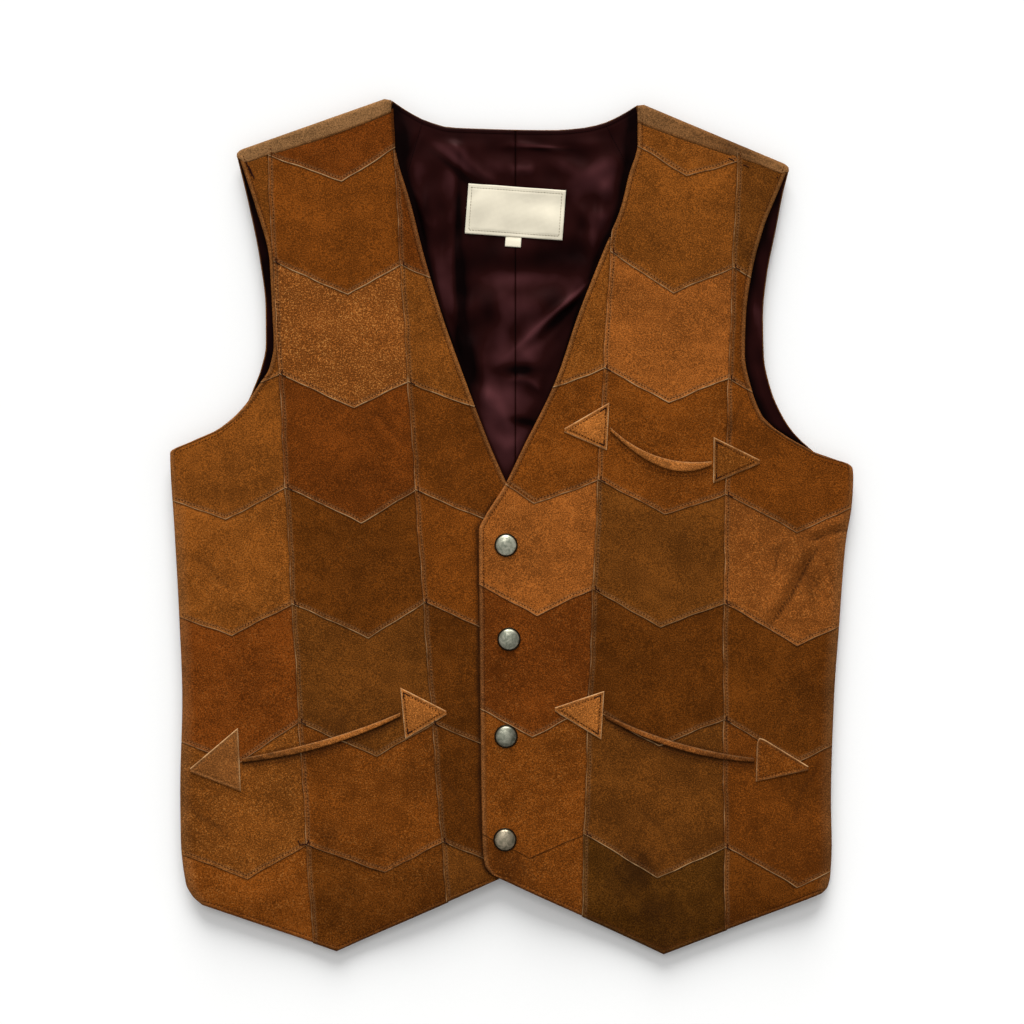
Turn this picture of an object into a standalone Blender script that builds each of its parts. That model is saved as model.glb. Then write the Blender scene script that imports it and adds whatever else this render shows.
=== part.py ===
# Patchwork suede vest with three arrow pockets, laid flat on its back with its fronts snapped shut.
# The model is in metres: +Z is up from the surface, +Y runs from the hem to the shoulders, and +X is
# the wearer's left. Sizes are written in millimetres, as on a cutting pattern, and scaled at the end.

import math
from collections import namedtuple

import bmesh
import bpy
import numpy as np

METRES = 0.001

# Walls and clearances
GAP = 0.3
SUEDE = 1.5
SATIN = 1.0
TAB = 1.2
LABEL = 1.0

# Heights of the layers above the surface
LINING_LOW = SUEDE + GAP
LINING_TOP = LINING_LOW + SATIN
FRONT_TOP = LINING_TOP + GAP + SUEDE
SIDE_SEAM = FRONT_TOP / 2

# The fronts lie loosely: they lift a little in the middle and come down past the hem of the back
LIFT = 2.0
LIFT_FROM_SIDE = 85.0
LIFT_FROM_HEM = 90.0
LIFT_FROM_SHOULDER = 120.0
SAG_FROM = -250.0
SAG_OVER = 38.0
SAG = LINING_TOP + GAP - 0.1

# The left front laps over the right one, and comes down again beyond its hidden edge
LAP_RISE = SUEDE + GAP
LAP_EDGE = 14.0
LAP_FADE = 46.0

# The sides and the shoulders are folds, this far in from the outline
SIDE_ROLL = 6.0
SHOULDER_ROLL = 3.0
ROLL_FADE = 60.0
BACK_ROLL_LATER = 18.0
ROLL_STEPS = np.array([0.0, 0.134, 0.5, 1.0])
SHOULDER_TURNS = (-60, -30, 0, 30, 60, 90)

HALF_WIDTH = 234.2
SHOULDER_TOP = 294.3
HEM_POINT = -294.3

# Armholes, from the shoulder down: height, edge of the front, edge of the back
RIGHT_ARMHOLE = (
    (257, -188.5, -189.5),
    (220, -176, -180.5),
    (183, -166, -173),
    (150, -163.5, -169),
    (124, -163, -168.8),
    (108, -166, -172),
    (96, -173.5, -176.5),
    (80, -185, -184),
    (66, -201.5, -199.5),
    (58, -219, -216),
)
LEFT_ARMHOLE = (
    (247, 190.5, 191),
    (225, 181, 185.5),
    (204, 172.5, 181.5),
    (171, 164, 175),
    (145, 160.5, 172.5),
    (117, 159.6, 173),
    (93, 164.4, 178),
    (73, 173, 187),
    (62, 187, 195),
    (54, 201, 203.5),
    (46.5, 215, 212.5),
    (42, 230, 227),
)

# Side folds, from the armpit to the rounded hem corner: height, outline
RIGHT_SIDE = (
    (50, -234.2),
    (0, -231.5),
    (-60, -228.2),
    (-120, -226),
    (-180, -227.4),
    (-215, -227),
    (-245, -223.6),
    (-254, -219),
    (-260, -212.5),
)
LEFT_SIDE = (
    (39.5, 234.2),
    (15, 233.2),
    (-12, 229),
    (-68, 224.6),
    (-120, 221),
    (-190, 219),
    (-218, 219.5),
    (-240, 218.5),
    (-248, 216.5),
    (-252, 213),
)
RIGHT_ARMPIT, LEFT_ARMPIT = RIGHT_SIDE[0][0], LEFT_SIDE[0][0]

# Neck edge and centre edge of each front, from the shoulder down: height, edge
RIGHT_NECK = (
    (294, -82.7),
    (260, -80),
    (219, -68.7),
    (186, -60.3),
    (145, -48),
    (100, -32),
    (54, -14.5),
    (31, -4.4),
    (-6, 12.5),
    (-240, 12.5),
)
LEFT_NECK = (
    (290.5, 86.2),
    (262, 86.2),
    (239.5, 80),
    (219, 75),
    (182, 60.3),
    (145, 45.7),
    (100, 30.3),
    (51, 6.5),
    (28.5, -4.4),
    (3.3, -20),
    (-3, -22.5),
    (-125, -21.5),
    (-218, -20),
    (-232, -18.5),
    (-238, -14.5),
    (-241, -9),
)
LEFT_NECK_CORNER = -3.0

# Neckline of the back, from right to left: across, height
BACK_NECK = (
    (-82.7, 289),
    (-71.7, 283),
    (-59, 278),
    (-41, 273.2),
    (29, 271.5),
    (50, 273.2),
    (64, 276.6),
    (75, 280.5),
    (86.2, 285.5),
)
CENTRE_BACK = 2.5

# Shoulders: across at the arm and at the neck, with the heights of the fold and of the front seam there
Shoulder = namedtuple("Shoulder", "arm arm_fold arm_seam neck neck_fold neck_seam")
RIGHT_SHOULDER = Shoulder(-189.5, 256.6, 249.5, -82.7, 294.3, 284.3)
LEFT_SHOULDER = Shoulder(191.0, 246.6, 242.3, 86.2, 290.6, 277.0)

# Hems: across and height at the centre end, the point and the side end
RIGHT_HEM = ((12.5, -232.6), (-120.4, -292.2), (-212.5, -260.0))
LEFT_HEM = ((-9.0, -241.2), (103.6, -294.3), (213.0, -252.0))
BACK_HEM_SIDE = -244.0
BACK_HEM_CENTRE = -233.0

# Column seams: across at SEAM_REACH above, at and below the middle
SEAM_REACH = 250.0
SEAMS = {
    "right_side": (-167.0, -153.5, -138.5),
    "right_centre": (-80.3, -64.3, -45.3),
    "left_centre": (71.5, 57.6, 48.6),
    "left_side": (154.7, 146.0, 146.0),
}

# Chevron rows: heights where each row meets the four column seams
SeamRow = namedtuple("SeamRow", "right_side right_centre left_centre left_side")
SEAM_ROWS = (
    SeamRow(254, 259, 260, 250),
    SeamRow(181, 179, 187.5, 177),
    SeamRow(104, 98.5, 108, 101),
    SeamRow(26.5, 24.5, 32, 21.5),
    SeamRow(-53, -52, -43, -52.5),
    SeamRow(-134, -135, -124, -132.5),
    SeamRow(-218.5, -216, -210.5, -220),
)

# How far below its seams each chevron's point lies; a row that starts lower down in a column has 0
TipRow = namedtuple(
    "TipRow", "right_side right_middle right_centre left_centre left_middle left_side"
)
TIP_ROWS = (
    TipRow(0, 21, 0, 0, 15.5, 0),
    TipRow(0, 22, 21, 0, 23, 30),
    TipRow(20, 20.5, 17, 15, 20, 30),
    TipRow(22.5, 23.5, 20.5, 17, 19, 26),
    TipRow(22.5, 24.5, 21, 18.5, 22, 30),
    TipRow(28.5, 23.5, 20, 20.5, 22.5, 29.5),
    TipRow(23, 20, 19, 17, 26, 27.5),
)

# Suede dye lots, as sRGB, and the lot of each patch from the shoulder down
DYE_LOTS = {
    "honey": "8a4f1c",
    "tan": "7b4414",
    "chestnut": "6d3a0e",
    "rust": "68330b",
    "tobacco": "5f330c",
    "umber": "592e09",
    "bark": "4a2707",
}
PATCH_LOTS = {
    "right_side": "chestnut tan tan rust tan chestnut",
    "right_middle": "rust chestnut honey rust umber tobacco chestnut umber",
    "right_centre": "tobacco tan tobacco chestnut umber umber tobacco",
    "left_centre": "tan tan honey rust chestnut chestnut",
    "left_middle": "tan tan honey chestnut chestnut bark tobacco bark",
    "left_side": "tobacco chestnut chestnut honey umber tobacco umber",
}

# Arrow tabs: upper and lower corner of the base, then the blunt tip
Arrow = namedtuple("Arrow", "upper lower tip lot")
ARROWS = {
    "chest_tab_inner": Arrow((66.6, 84.0), (65.0, 51.8), (36.1, 65.2), "honey"),
    "chest_tab_outer": Arrow((138.3, 60.4), (137.9, 29.2), (169.7, 43.7), "tan"),
    "right_tab_outer": Arrow((-187.5, -138.6), (-185.5, -181.8), (-220.0, -167.4), "tan"),
    "right_tab_inner": Arrow((-76.2, -110.9), (-72.8, -145.8), (-44.8, -128.0), "honey"),
    "left_tab_inner": Arrow((63.2, -113.3), (61.1, -146.2), (29.6, -125.6), "honey"),
    "left_tab_outer": Arrow((168.0, -143.4), (167.0, -174.9), (202.9, -166.0), "chestnut"),
}
ARROW_TIP = 2.4

# Pocket welts: the two ends, and the middles of the upper and lower edges
Welt = namedtuple("Welt", "start upper lower end")
WELTS = {
    "chest_welt": Welt((67.5, 66.0), (99.5, 47.5), (104.0, 39.5), (136.8, 42.8)),
    "right_welt": Welt((-184.6, -160.5), (-126.0, -145.2), (-129.5, -152.0), (-76.2, -129.2)),
    "left_welt": Welt((64.0, -130.5), (114.0, -147.6), (115.2, -154.6), (165.8, -160.2)),
}
WELT_END = 2.6

# Snap caps: centre of each, from the neck down
SNAPS = ((-3.9, -13.3), (-1.9, -77.6), (-3.9, -144.1), (-4.6, -214.7))
SNAP_RADIUS = 8.0
SNAP_HEIGHT = 3.2
SNAP_RIM = 1.1
SNAP_SIDES = 20

LABEL_CENTRE = (2.5, 215.0)
LABEL_SIZE = (67.0, 34.3)
LABEL_TURN = math.radians(-4.2)
SIZE_TAB_SIZE = (10.8, 7.0)
SIZE_TAB_DROP = LABEL_SIZE[1] / 2 + GAP + SIZE_TAB_SIZE[1] / 2


def clear_scene():
    for found in list(bpy.data.objects):
        bpy.data.objects.remove(found, do_unlink=True)


def linear(hex_colour):
    """An sRGB hex colour as linear RGBA."""
    channels = [int(hex_colour[i : i + 2], 16) / 255 for i in (0, 2, 4)]
    return [c / 12.92 if c <= 0.04045 else ((c + 0.055) / 1.055) ** 2.4 for c in channels] + [1.0]


def material(name, hex_colour, roughness, metallic=0.0):
    made = bpy.data.materials.get(name)
    if made is None:
        made = bpy.data.materials.new(name)
        made.use_nodes = True
        shader = made.node_tree.nodes["Principled BSDF"]
        shader.inputs["Base Color"].default_value = linear(hex_colour)
        shader.inputs["Roughness"].default_value = roughness
        shader.inputs["Metallic"].default_value = metallic
    return made


def suede(lot):
    return material(f"suede_{lot}", DYE_LOTS[lot], 0.95)


def ramp(t):
    """A smooth step from 0 to 1."""
    t = np.clip(t, 0.0, 1.0)
    return t * t * (3 - 2 * t)


def curve(rows):
    """A smooth curve through (place, value) rows that never overshoots them."""
    places, values = np.array(sorted(rows), float).T
    spans = np.diff(places)
    slopes = np.diff(values) / spans
    tangents = np.concatenate([slopes[:1], np.zeros(len(slopes) - 1), slopes[-1:]])
    for i in range(1, len(slopes)):
        if slopes[i - 1] * slopes[i] > 0:
            tangents[i] = 2 * slopes[i - 1] * slopes[i] / (slopes[i - 1] + slopes[i])

    def value(place):
        place = np.clip(place, places[0], places[-1])
        i = np.clip(np.searchsorted(places, place) - 1, 0, len(spans) - 1)
        t = (place - places[i]) / spans[i]
        bend = t * (1 - t)
        start_pull = tangents[i] - slopes[i]
        end_pull = slopes[i] - tangents[i + 1]
        pull = bend * (start_pull * (1 - t) + end_pull * t)
        return values[i] + spans[i] * (slopes[i] * t + pull)

    return value


def outline(armhole, side, column):
    return curve([(row[0], row[column]) for row in armhole] + list(side))


right_front_edge = outline(RIGHT_ARMHOLE, RIGHT_SIDE, 1)
left_front_edge = outline(LEFT_ARMHOLE, LEFT_SIDE, 1)
right_back_edge = outline(RIGHT_ARMHOLE, RIGHT_SIDE, 2)
left_back_edge = outline(LEFT_ARMHOLE, LEFT_SIDE, 2)
right_neck = curve(RIGHT_NECK)
left_neck = curve(LEFT_NECK)
back_neck = curve(BACK_NECK)


def seam(name):
    """Where a column seam runs at a height: a gentle bow through its three places."""
    top, middle, bottom = SEAMS[name]
    lean = (top - bottom) / 2
    bow = (top + bottom) / 2 - middle
    return lambda height: middle + lean * height / SEAM_REACH + bow * (height / SEAM_REACH) ** 2


right_side_seam, right_centre_seam = seam("right_side"), seam("right_centre")
left_centre_seam, left_side_seam = seam("left_centre"), seam("left_side")


def straight(across, start, end):
    """Height at a place across, on the line through two (across, height) points."""
    return start[1] + (across - start[0]) * (end[1] - start[1]) / (end[0] - start[0])


def shoulder_fold(across):
    shoulder = RIGHT_SHOULDER if across < 0 else LEFT_SHOULDER
    return straight(across, (shoulder.arm, shoulder.arm_fold), (shoulder.neck, shoulder.neck_fold))


def shoulder_seam(across):
    shoulder = RIGHT_SHOULDER if across < 0 else LEFT_SHOULDER
    return straight(across, (shoulder.arm, shoulder.arm_seam), (shoulder.neck, shoulder.neck_seam))


def hem_line(hem):
    """The hem of a front: two straight runs that meet at its point."""
    centre, point, side = hem
    towards_side = 1 if side[0] > point[0] else -1

    def height(across):
        far = side if (across - point[0]) * towards_side > 0 else centre
        return straight(across, point, far)

    return height


def back_hem(across):
    return BACK_HEM_CENTRE + (BACK_HEM_SIDE - BACK_HEM_CENTRE) * (across / HALF_WIDTH) ** 2


def front_height(x, y, lapped):
    """Height of the outer face of a front, before its side fold."""
    lift = LIFT * ramp((HALF_WIDTH - np.abs(x)) / LIFT_FROM_SIDE)
    lift = lift * ramp((y - HEM_POINT) / LIFT_FROM_HEM) * ramp((SHOULDER_TOP - y) / LIFT_FROM_SHOULDER)
    sag = SAG * ramp((SAG_FROM - y) / SAG_OVER)
    lap = LAP_RISE * (1 - ramp((x - LAP_EDGE) / LAP_FADE)) if lapped else 0.0
    return FRONT_TOP + lift - sag + lap


def side_turn(x, y, right_edge, left_edge, later=0.0):
    """How far a wall has turned outward in the side fold: the amount of fold and the share turned."""
    inside = np.where(x < 0, x - right_edge(y), left_edge(y) - x)
    amount = ramp((np.where(x < 0, RIGHT_ARMPIT, LEFT_ARMPIT) - later - y) / ROLL_FADE)
    return amount, np.clip(1 - inside / SIDE_ROLL, 0.0, 1.0)


def walls(x, y, z, outward, upward, thickness):
    """Outer and inner face of a wall, from its outer points and its outward direction."""
    outer = np.stack([x, y, z], axis=-1)
    normal = np.stack([outward, np.zeros_like(outward), upward], axis=-1)
    return outer, outer - thickness * normal


def front_wall(x, y, lapped):
    z = front_height(x, y, lapped)
    amount, turned = side_turn(x, y, right_front_edge, left_front_edge)
    z = z - amount * (z - SIDE_SEAM - GAP / 2) * (1 - np.sqrt(1 - turned**2))
    outward = np.sign(x) * amount * turned
    return walls(x, y, z, outward, np.sqrt(1 - outward**2), SUEDE)


def back_wall(x, y):
    amount, turned = side_turn(x, y, right_back_edge, left_back_edge, BACK_ROLL_LATER)
    z = amount * (SIDE_SEAM - GAP / 2) * (1 - np.sqrt(1 - turned**2))
    outward = np.sign(x) * amount * turned
    return walls(x, y, z, outward, -np.sqrt(1 - outward**2), SUEDE)


def mesh_object(name, points, faces, finish):
    """A closed mesh as a named object, with its faces turned outward."""
    mesh = bpy.data.meshes.new(name)
    mesh.from_pydata((np.asarray(points) * METRES).tolist(), [], faces)
    form = bmesh.new()
    form.from_mesh(mesh)
    bmesh.ops.recalc_face_normals(form, faces=form.faces)
    form.to_mesh(mesh)
    form.free()
    mesh.materials.append(finish)
    made = bpy.data.objects.new(name, mesh)
    bpy.context.collection.objects.link(made)
    return made


def sheet_solid(name, outer, inner, cells, finish):
    """Closes two matching sheets of points, with the given quad cells, into one wall."""
    count = len(outer)
    faces = [list(cell) for cell in cells] + [[i + count for i in reversed(cell)] for cell in cells]
    edges = {}
    for cell in cells:
        for a, b in zip(cell, cell[1:] + cell[:1]):
            edges[(a, b)] = edges.get((a, b), 0) + 1
    for a, b in edges:
        if (b, a) not in edges:
            faces.append([b, a, a + count, b + count])
    return mesh_object(name, np.concatenate([outer, inner]), faces, finish)


def grid_cells(rows, columns):
    """Quad cells of a grid whose points are numbered along each row in turn."""
    return [
        [j * columns + i, j * columns + i + 1, (j + 1) * columns + i + 1, (j + 1) * columns + i]
        for j in range(rows - 1)
        for i in range(columns - 1)
    ]


def grid_wall(name, faces, finish):
    """A wall from two grids of points, its outer and its inner face."""
    outer, inner = faces
    rows, columns = outer.shape[:2]
    cells = grid_cells(rows, columns)
    return sheet_solid(name, outer.reshape(-1, 3), inner.reshape(-1, 3), cells, finish)


# A column of patches. low and high give its two edges at a height, and seams names the column seams
# that its chevrons hang from. A middle column hangs between two seams, with its points at a share of
# the width. Another hangs from one seam: reach is how far from it the points lie, and rise is the slope
# beyond them. before and after count the cells on each side of a point, folded says which end is a side
# fold, and corner is the height of a corner on the free edge. The rest are its rows, ends and front.
Column = namedtuple(
    "Column", "low high seams share reach rise before after folded corner rows top hem lapped"
)
THIN_STRIP = 2.4
SOLVE_STEPS = 30
COLUMNS = {
    "right_side": Column(
        low=lambda y: np.minimum(right_front_edge(y), right_side_seam(y) - THIN_STRIP),
        high=right_side_seam,
        seams=(None, "right_side"),
        share=0.5, reach=43.0, rise=0.38, before=3, after=2, folded=0, corner=RIGHT_ARMPIT,
        rows=(2, 3, 4, 5, 6), top=shoulder_seam, hem=RIGHT_HEM, lapped=False,
    ),
    "right_middle": Column(
        low=right_side_seam,
        high=lambda y: np.minimum(right_centre_seam(y), right_neck(y)),
        seams=("right_side", "right_centre"),
        share=0.56, reach=None, rise=None, before=2, after=2, folded=None, corner=None,
        rows=(0, 1, 2, 3, 4, 5, 6), top=shoulder_seam, hem=RIGHT_HEM, lapped=False,
    ),
    "right_centre": Column(
        low=right_centre_seam,
        high=right_neck,
        seams=("right_centre", None),
        share=0.5, reach=45.0, rise=0.47, before=3, after=2, folded=None, corner=RIGHT_NECK[-2][0],
        rows=(1, 2, 3, 4, 5, 6), top=250.0, hem=RIGHT_HEM, lapped=False,
    ),
    "left_centre": Column(
        low=left_neck,
        high=left_centre_seam,
        seams=(None, "left_centre"),
        share=0.5, reach=39.0, rise=0.55, before=3, after=4, folded=None, corner=LEFT_NECK_CORNER,
        rows=(2, 3, 4, 5, 6), top=196.0, hem=LEFT_HEM, lapped=True,
    ),
    "left_middle": Column(
        low=lambda y: np.maximum(left_centre_seam(y), left_neck(y)),
        high=left_side_seam,
        seams=("left_centre", "left_side"),
        share=0.52, reach=None, rise=None, before=3, after=3, folded=None, corner=None,
        rows=(0, 1, 2, 3, 4, 5, 6), top=shoulder_seam, hem=LEFT_HEM, lapped=True,
    ),
    "left_side": Column(
        low=left_side_seam,
        high=left_front_edge,
        seams=("left_side", None),
        share=0.5, reach=51.0, rise=0.48, before=2, after=3, folded=-1, corner=LEFT_ARMPIT,
        rows=(1, 2, 3, 4, 5, 6), top=shoulder_seam, hem=LEFT_HEM, lapped=True,
    ),
}


def shares_across(column, tip, width):
    """Places across a row as shares of its width, one on the chevron's point, more in a side fold."""
    before = np.linspace(0, tip, column.before + 1)
    after = np.linspace(tip, 1, column.after + 1)
    if column.folded == 0:
        fold = min(SIDE_ROLL / width, 0.4 * tip)
        before = np.concatenate([fold * ROLL_STEPS, np.linspace(fold, tip, column.before + 1)[1:]])
    if column.folded == -1:
        fold = min(SIDE_ROLL / width, 0.4 * (1 - tip))
        flat = np.linspace(tip, 1 - fold, column.after + 1)[:-1]
        after = np.concatenate([flat, 1 - fold * ROLL_STEPS[::-1]])
    return np.concatenate([before, after[1:]])


def hung_between(column, row, drop):
    """A chevron between two seams: its width, the share of its point, and its three heights."""
    low, high = (getattr(row, name) for name in column.seams)
    width = column.high(high) - column.low(low)
    return width, column.share, (low, (low + high) / 2 - drop, high)


def hung_from_one(column, row, drop):
    """A chevron from one seam to a free edge, which may cut it off before its point."""
    seam_first = column.seams[1] is None
    at_seam = getattr(row, column.seams[0] or column.seams[1])
    far = at_seam
    for _ in range(SOLVE_STEPS):
        low, high = (at_seam, far) if seam_first else (far, at_seam)
        width = column.high(high) - column.low(low)
        past = width - column.reach
        if past > 0:
            far = at_seam - drop + column.rise * past
        else:
            far = at_seam - drop * width / column.reach
    share = column.reach / width if past > 0 else column.share
    point = at_seam - drop if past > 0 else (far + at_seam) / 2
    if seam_first:
        return width, share, (at_seam, point, far)
    return width, 1 - share, (far, point, at_seam)


def chevron(name, index):
    """One chevron row of a column, as shares across it and heights."""
    column = COLUMNS[name]
    hung = hung_between if column.reach is None else hung_from_one
    width, tip, heights = hung(column, SEAM_ROWS[index], getattr(TIP_ROWS[index], name))
    shares = shares_across(column, float(tip), float(width))
    return shares, np.interp(shares, [0, tip, 1], heights)


def across_line(name, line, start, point=None):
    """A row of a column along a line across the vest, such as the hem, as shares and heights."""
    column = COLUMNS[name]
    width = column.high(start) - column.low(start)
    tip = column.share
    if point is not None and column.low(point[1]) < point[0] < column.high(point[1]):
        tip = (point[0] - column.low(point[1])) / (column.high(point[1]) - column.low(point[1]))
    shares = shares_across(column, float(tip), float(width))
    heights = []
    for share in shares:
        height = start
        for _ in range(SOLVE_STEPS):
            height = line(column.low(height) + share * (column.high(height) - column.low(height)))
        heights.append(float(height))
    return shares, np.array(heights)


def column_rows(name):
    """Every row line of a column, from its top to its hem."""
    column = COLUMNS[name]
    if callable(column.top):
        first = across_line(name, column.top, SEAM_ROWS[0].left_side)
    else:
        first = across_line(name, lambda across: column.top, column.top)
    last = across_line(name, hem_line(column.hem), column.hem[2][1], column.hem[1])
    return [first] + [chevron(name, index) for index in column.rows] + [last]


def patch_stops(column, top, low, steps):
    """Places down a patch, one of them on a corner of the column's free edge."""
    stops = np.linspace(0, 1, steps + 1)
    if column.corner is not None:
        edge = 0 if column.seams[0] is None else -1
        corner = (top[edge] - column.corner) / (top[edge] - low[edge])
        if 0.08 < corner < 0.92:
            stops[np.argmin(np.abs(stops[1:-1] - corner)) + 1] = corner
    return stops


def make_patches():
    inset = GAP / 2
    row_inset = 1.15 * inset
    for name, column in COLUMNS.items():
        rows = column_rows(name)
        for number, lot in enumerate(PATCH_LOTS[name].split()):
            (top_shares, top), (low_shares, low) = rows[number], rows[number + 1]
            steps = max(3, round(float((top - low).max()) / 22))
            grid_x, grid_y = [], []
            for v in patch_stops(column, top, low, steps):
                shares = top_shares + v * (low_shares - top_shares)
                y = top - row_inset + v * (low - top + 2 * row_inset)
                start, end = column.low(y) + inset, column.high(y) - inset
                grid_x.append(start + shares * (end - start))
                grid_y.append(y)
            faces = front_wall(np.array(grid_x), np.array(grid_y), column.lapped)
            grid_wall(f"{name}_{number + 1}", faces, suede(lot))


def panel_top(low, high, share, neck_inset, shoulder_inset):
    """Across and height where a line up a back panel reaches the neckline or the shoulder's fold."""
    height = SHOULDER_TOP
    for _ in range(SOLVE_STEPS):
        across = float(low(height) + share * (high(height) - low(height)))
        if RIGHT_SHOULDER.neck < across < LEFT_SHOULDER.neck:
            height = float(back_neck(across)) - neck_inset
        else:
            height = shoulder_fold(across) - shoulder_inset
    return across, height


def panel_points(low, high, shares, top, rows, hem_inset):
    """A grid of points over a back panel, from its hem to its top."""
    start, end = low(BACK_HEM_SIDE), high(BACK_HEM_SIDE)
    hem = back_hem(start + shares * (end - start)) + hem_inset
    y = hem + np.linspace(0, 1, rows + 1)[:, None] * (top - hem)
    return low(y) + shares * (high(y) - low(y)), y


def neck_shares():
    """Shares of the back's width at the two neck points."""
    width = LEFT_SHOULDER.arm - RIGHT_SHOULDER.arm
    return [(shoulder.neck - RIGHT_SHOULDER.arm) / width for shoulder in (RIGHT_SHOULDER, LEFT_SHOULDER)]


BACK_ROWS = 22
ARM_STEPS, NECK_STEPS = 3, 6


def make_back():
    """The back panel, with its side folds, and the strips that come over the shoulders to the front."""
    fold = SIDE_ROLL / (2 * HALF_WIDTH) * ROLL_STEPS
    right_share, left_share = neck_shares()
    shares = np.concatenate([
        fold,
        np.linspace(fold[-1], right_share, ARM_STEPS + 1)[1:],
        np.linspace(right_share, left_share, NECK_STEPS + 1)[1:],
        np.linspace(left_share, 1 - fold[-1], ARM_STEPS + 1)[1:],
        1 - fold[-2::-1],
    ])
    tops = [panel_top(right_back_edge, left_back_edge, share, 0.0, SHOULDER_ROLL) for share in shares]
    top = np.array([height for _, height in tops])
    outer, inner = back_wall(*panel_points(right_back_edge, left_back_edge, shares, top, BACK_ROWS, 0.0))
    columns = len(shares)
    outer_points, inner_points = list(outer.reshape(-1, 3)), list(inner.reshape(-1, 3))
    cells = grid_cells(BACK_ROWS + 1, columns)
    last_row = BACK_ROWS * columns
    right_end = len(fold) + ARM_STEPS
    for run in (range(right_end), range(columns - right_end, columns)):
        previous = [last_row + i for i in run]
        for outer_row, inner_row in shoulder_rows([tops[i][0] for i in run]):
            current = [len(outer_points) + i for i in range(len(run))]
            outer_points += outer_row
            inner_points += inner_row
            for i in range(len(run) - 1):
                cells.append([previous[i], previous[i + 1], current[i + 1], current[i]])
            previous = current
    sheet_solid("back", np.array(outer_points), np.array(inner_points), cells, suede("tobacco"))


def shoulder_rows(places):
    """Rows of outer and inner points round a shoulder's fold, then across its strip to the front seam."""
    half = SIDE_SEAM
    for turn in SHOULDER_TURNS:
        along, up = math.cos(math.radians(turn)), math.sin(math.radians(turn))
        outer, inner = [], []
        for x in places:
            y = shoulder_fold(x) - SHOULDER_ROLL * (1 - along)
            z = half + half * up
            outer.append(np.array([x, y, z]))
            inner.append(np.array([x, y - SUEDE * along, z - SUEDE * up]))
        yield outer, inner
    outer, inner = [], []
    for x in places:
        y = shoulder_seam(x) + GAP / 2
        outer.append(np.array([x, y, FRONT_TOP]))
        inner.append(np.array([x, y, FRONT_TOP - SUEDE]))
    yield outer, inner


LINING_ROWS = 14
LINING_NECK_STEPS, LINING_ARM_STEPS = 4, 3
LINING_EDGE = 2.0
LINING_AT_SIDE = 10.0
LINING_HEM = 12.0


def make_lining():
    """Two satin halves inside the back, joined at its centre seam."""
    for name, side in (("lining_right", -1), ("lining_left", 1)):
        back_edge, armpit, shoulder = (
            (right_back_edge, RIGHT_ARMPIT, RIGHT_SHOULDER)
            if side < 0
            else (left_back_edge, LEFT_ARMPIT, LEFT_SHOULDER)
        )

        def seam_edge(y, side=side):
            return np.full_like(y, CENTRE_BACK + side * GAP / 2, dtype=float)

        def outer_edge(y, side=side, back_edge=back_edge, armpit=armpit):
            more = (LINING_AT_SIDE - LINING_EDGE) * ramp((armpit - y) / ROLL_FADE + 1)
            return back_edge(y) - side * (LINING_EDGE + more)

        neck_share = (shoulder.neck - CENTRE_BACK) / (outer_edge(SHOULDER_TOP) - CENTRE_BACK)
        shares = np.concatenate([
            np.linspace(0, neck_share, LINING_NECK_STEPS + 1),
            np.linspace(neck_share, 1, LINING_ARM_STEPS + 1)[1:],
        ])
        top = np.array([
            panel_top(seam_edge, outer_edge, share, LINING_EDGE, 2 * SHOULDER_ROLL)[1] for share in shares
        ])
        x, y = panel_points(seam_edge, outer_edge, shares, top, LINING_ROWS, LINING_HEM)
        faces = walls(x, y, np.full_like(x, LINING_TOP), np.zeros_like(x), np.ones_like(x), SATIN)
        grid_wall(name, faces, material("satin_maroon", "32151a", 0.35))


def laid_on(x, y, surface, thickness):
    """A wall that lies on a surface, a seam's gap above it."""
    z = surface(x, y) + GAP + thickness
    return walls(x, y, z, np.zeros_like(x), np.ones_like(x), thickness)


def front_surface(name):
    lapped = not name.startswith("right")
    return lambda x, y: front_height(x, y, lapped)


TAB_STEPS = 4


def make_tabs():
    """Arrow tabs: each tapers from its base to a blunt tip."""
    along = np.linspace(0, 1, TAB_STEPS + 1)[:, None]
    across = np.linspace(0, 1, TAB_STEPS + 1)[None, :]
    for name, arrow in ARROWS.items():
        upper, lower, tip = (np.array(point) for point in (arrow.upper, arrow.lower, arrow.tip))
        half_tip = (upper - lower) / np.linalg.norm(upper - lower) * ARROW_TIP / 2
        first = upper[:, None, None] + along * (tip + half_tip - upper)[:, None, None]
        second = lower[:, None, None] + along * (tip - half_tip - lower)[:, None, None]
        x, y = first + across * (second - first)
        grid_wall(name, laid_on(x, y, front_surface(name), TAB), suede(arrow.lot))


WELT_STEPS = 10


def through(start, middle, end, t):
    """A parabola through three points."""
    control = 2 * np.array(middle) - (np.array(start) + np.array(end)) / 2
    return (1 - t) ** 2 * np.array(start) + 2 * t * (1 - t) * control + t**2 * np.array(end)


def make_welts():
    """Curved welts, each a lens between an upper and a lower edge."""
    half_end = np.array([0, WELT_END / 2])
    for name, welt in WELTS.items():
        rows = []
        for t in np.linspace(0, 1, WELT_STEPS + 1):
            upper = through(welt.start + half_end, welt.upper, welt.end + half_end, t)
            lower = through(welt.start - half_end, welt.lower, welt.end - half_end, t)
            rows.append([upper, (upper + lower) / 2, lower])
        x, y = np.moveaxis(np.array(rows), 2, 0)
        grid_wall(name, laid_on(x, y, front_surface(name), TAB), suede("tan"))


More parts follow.
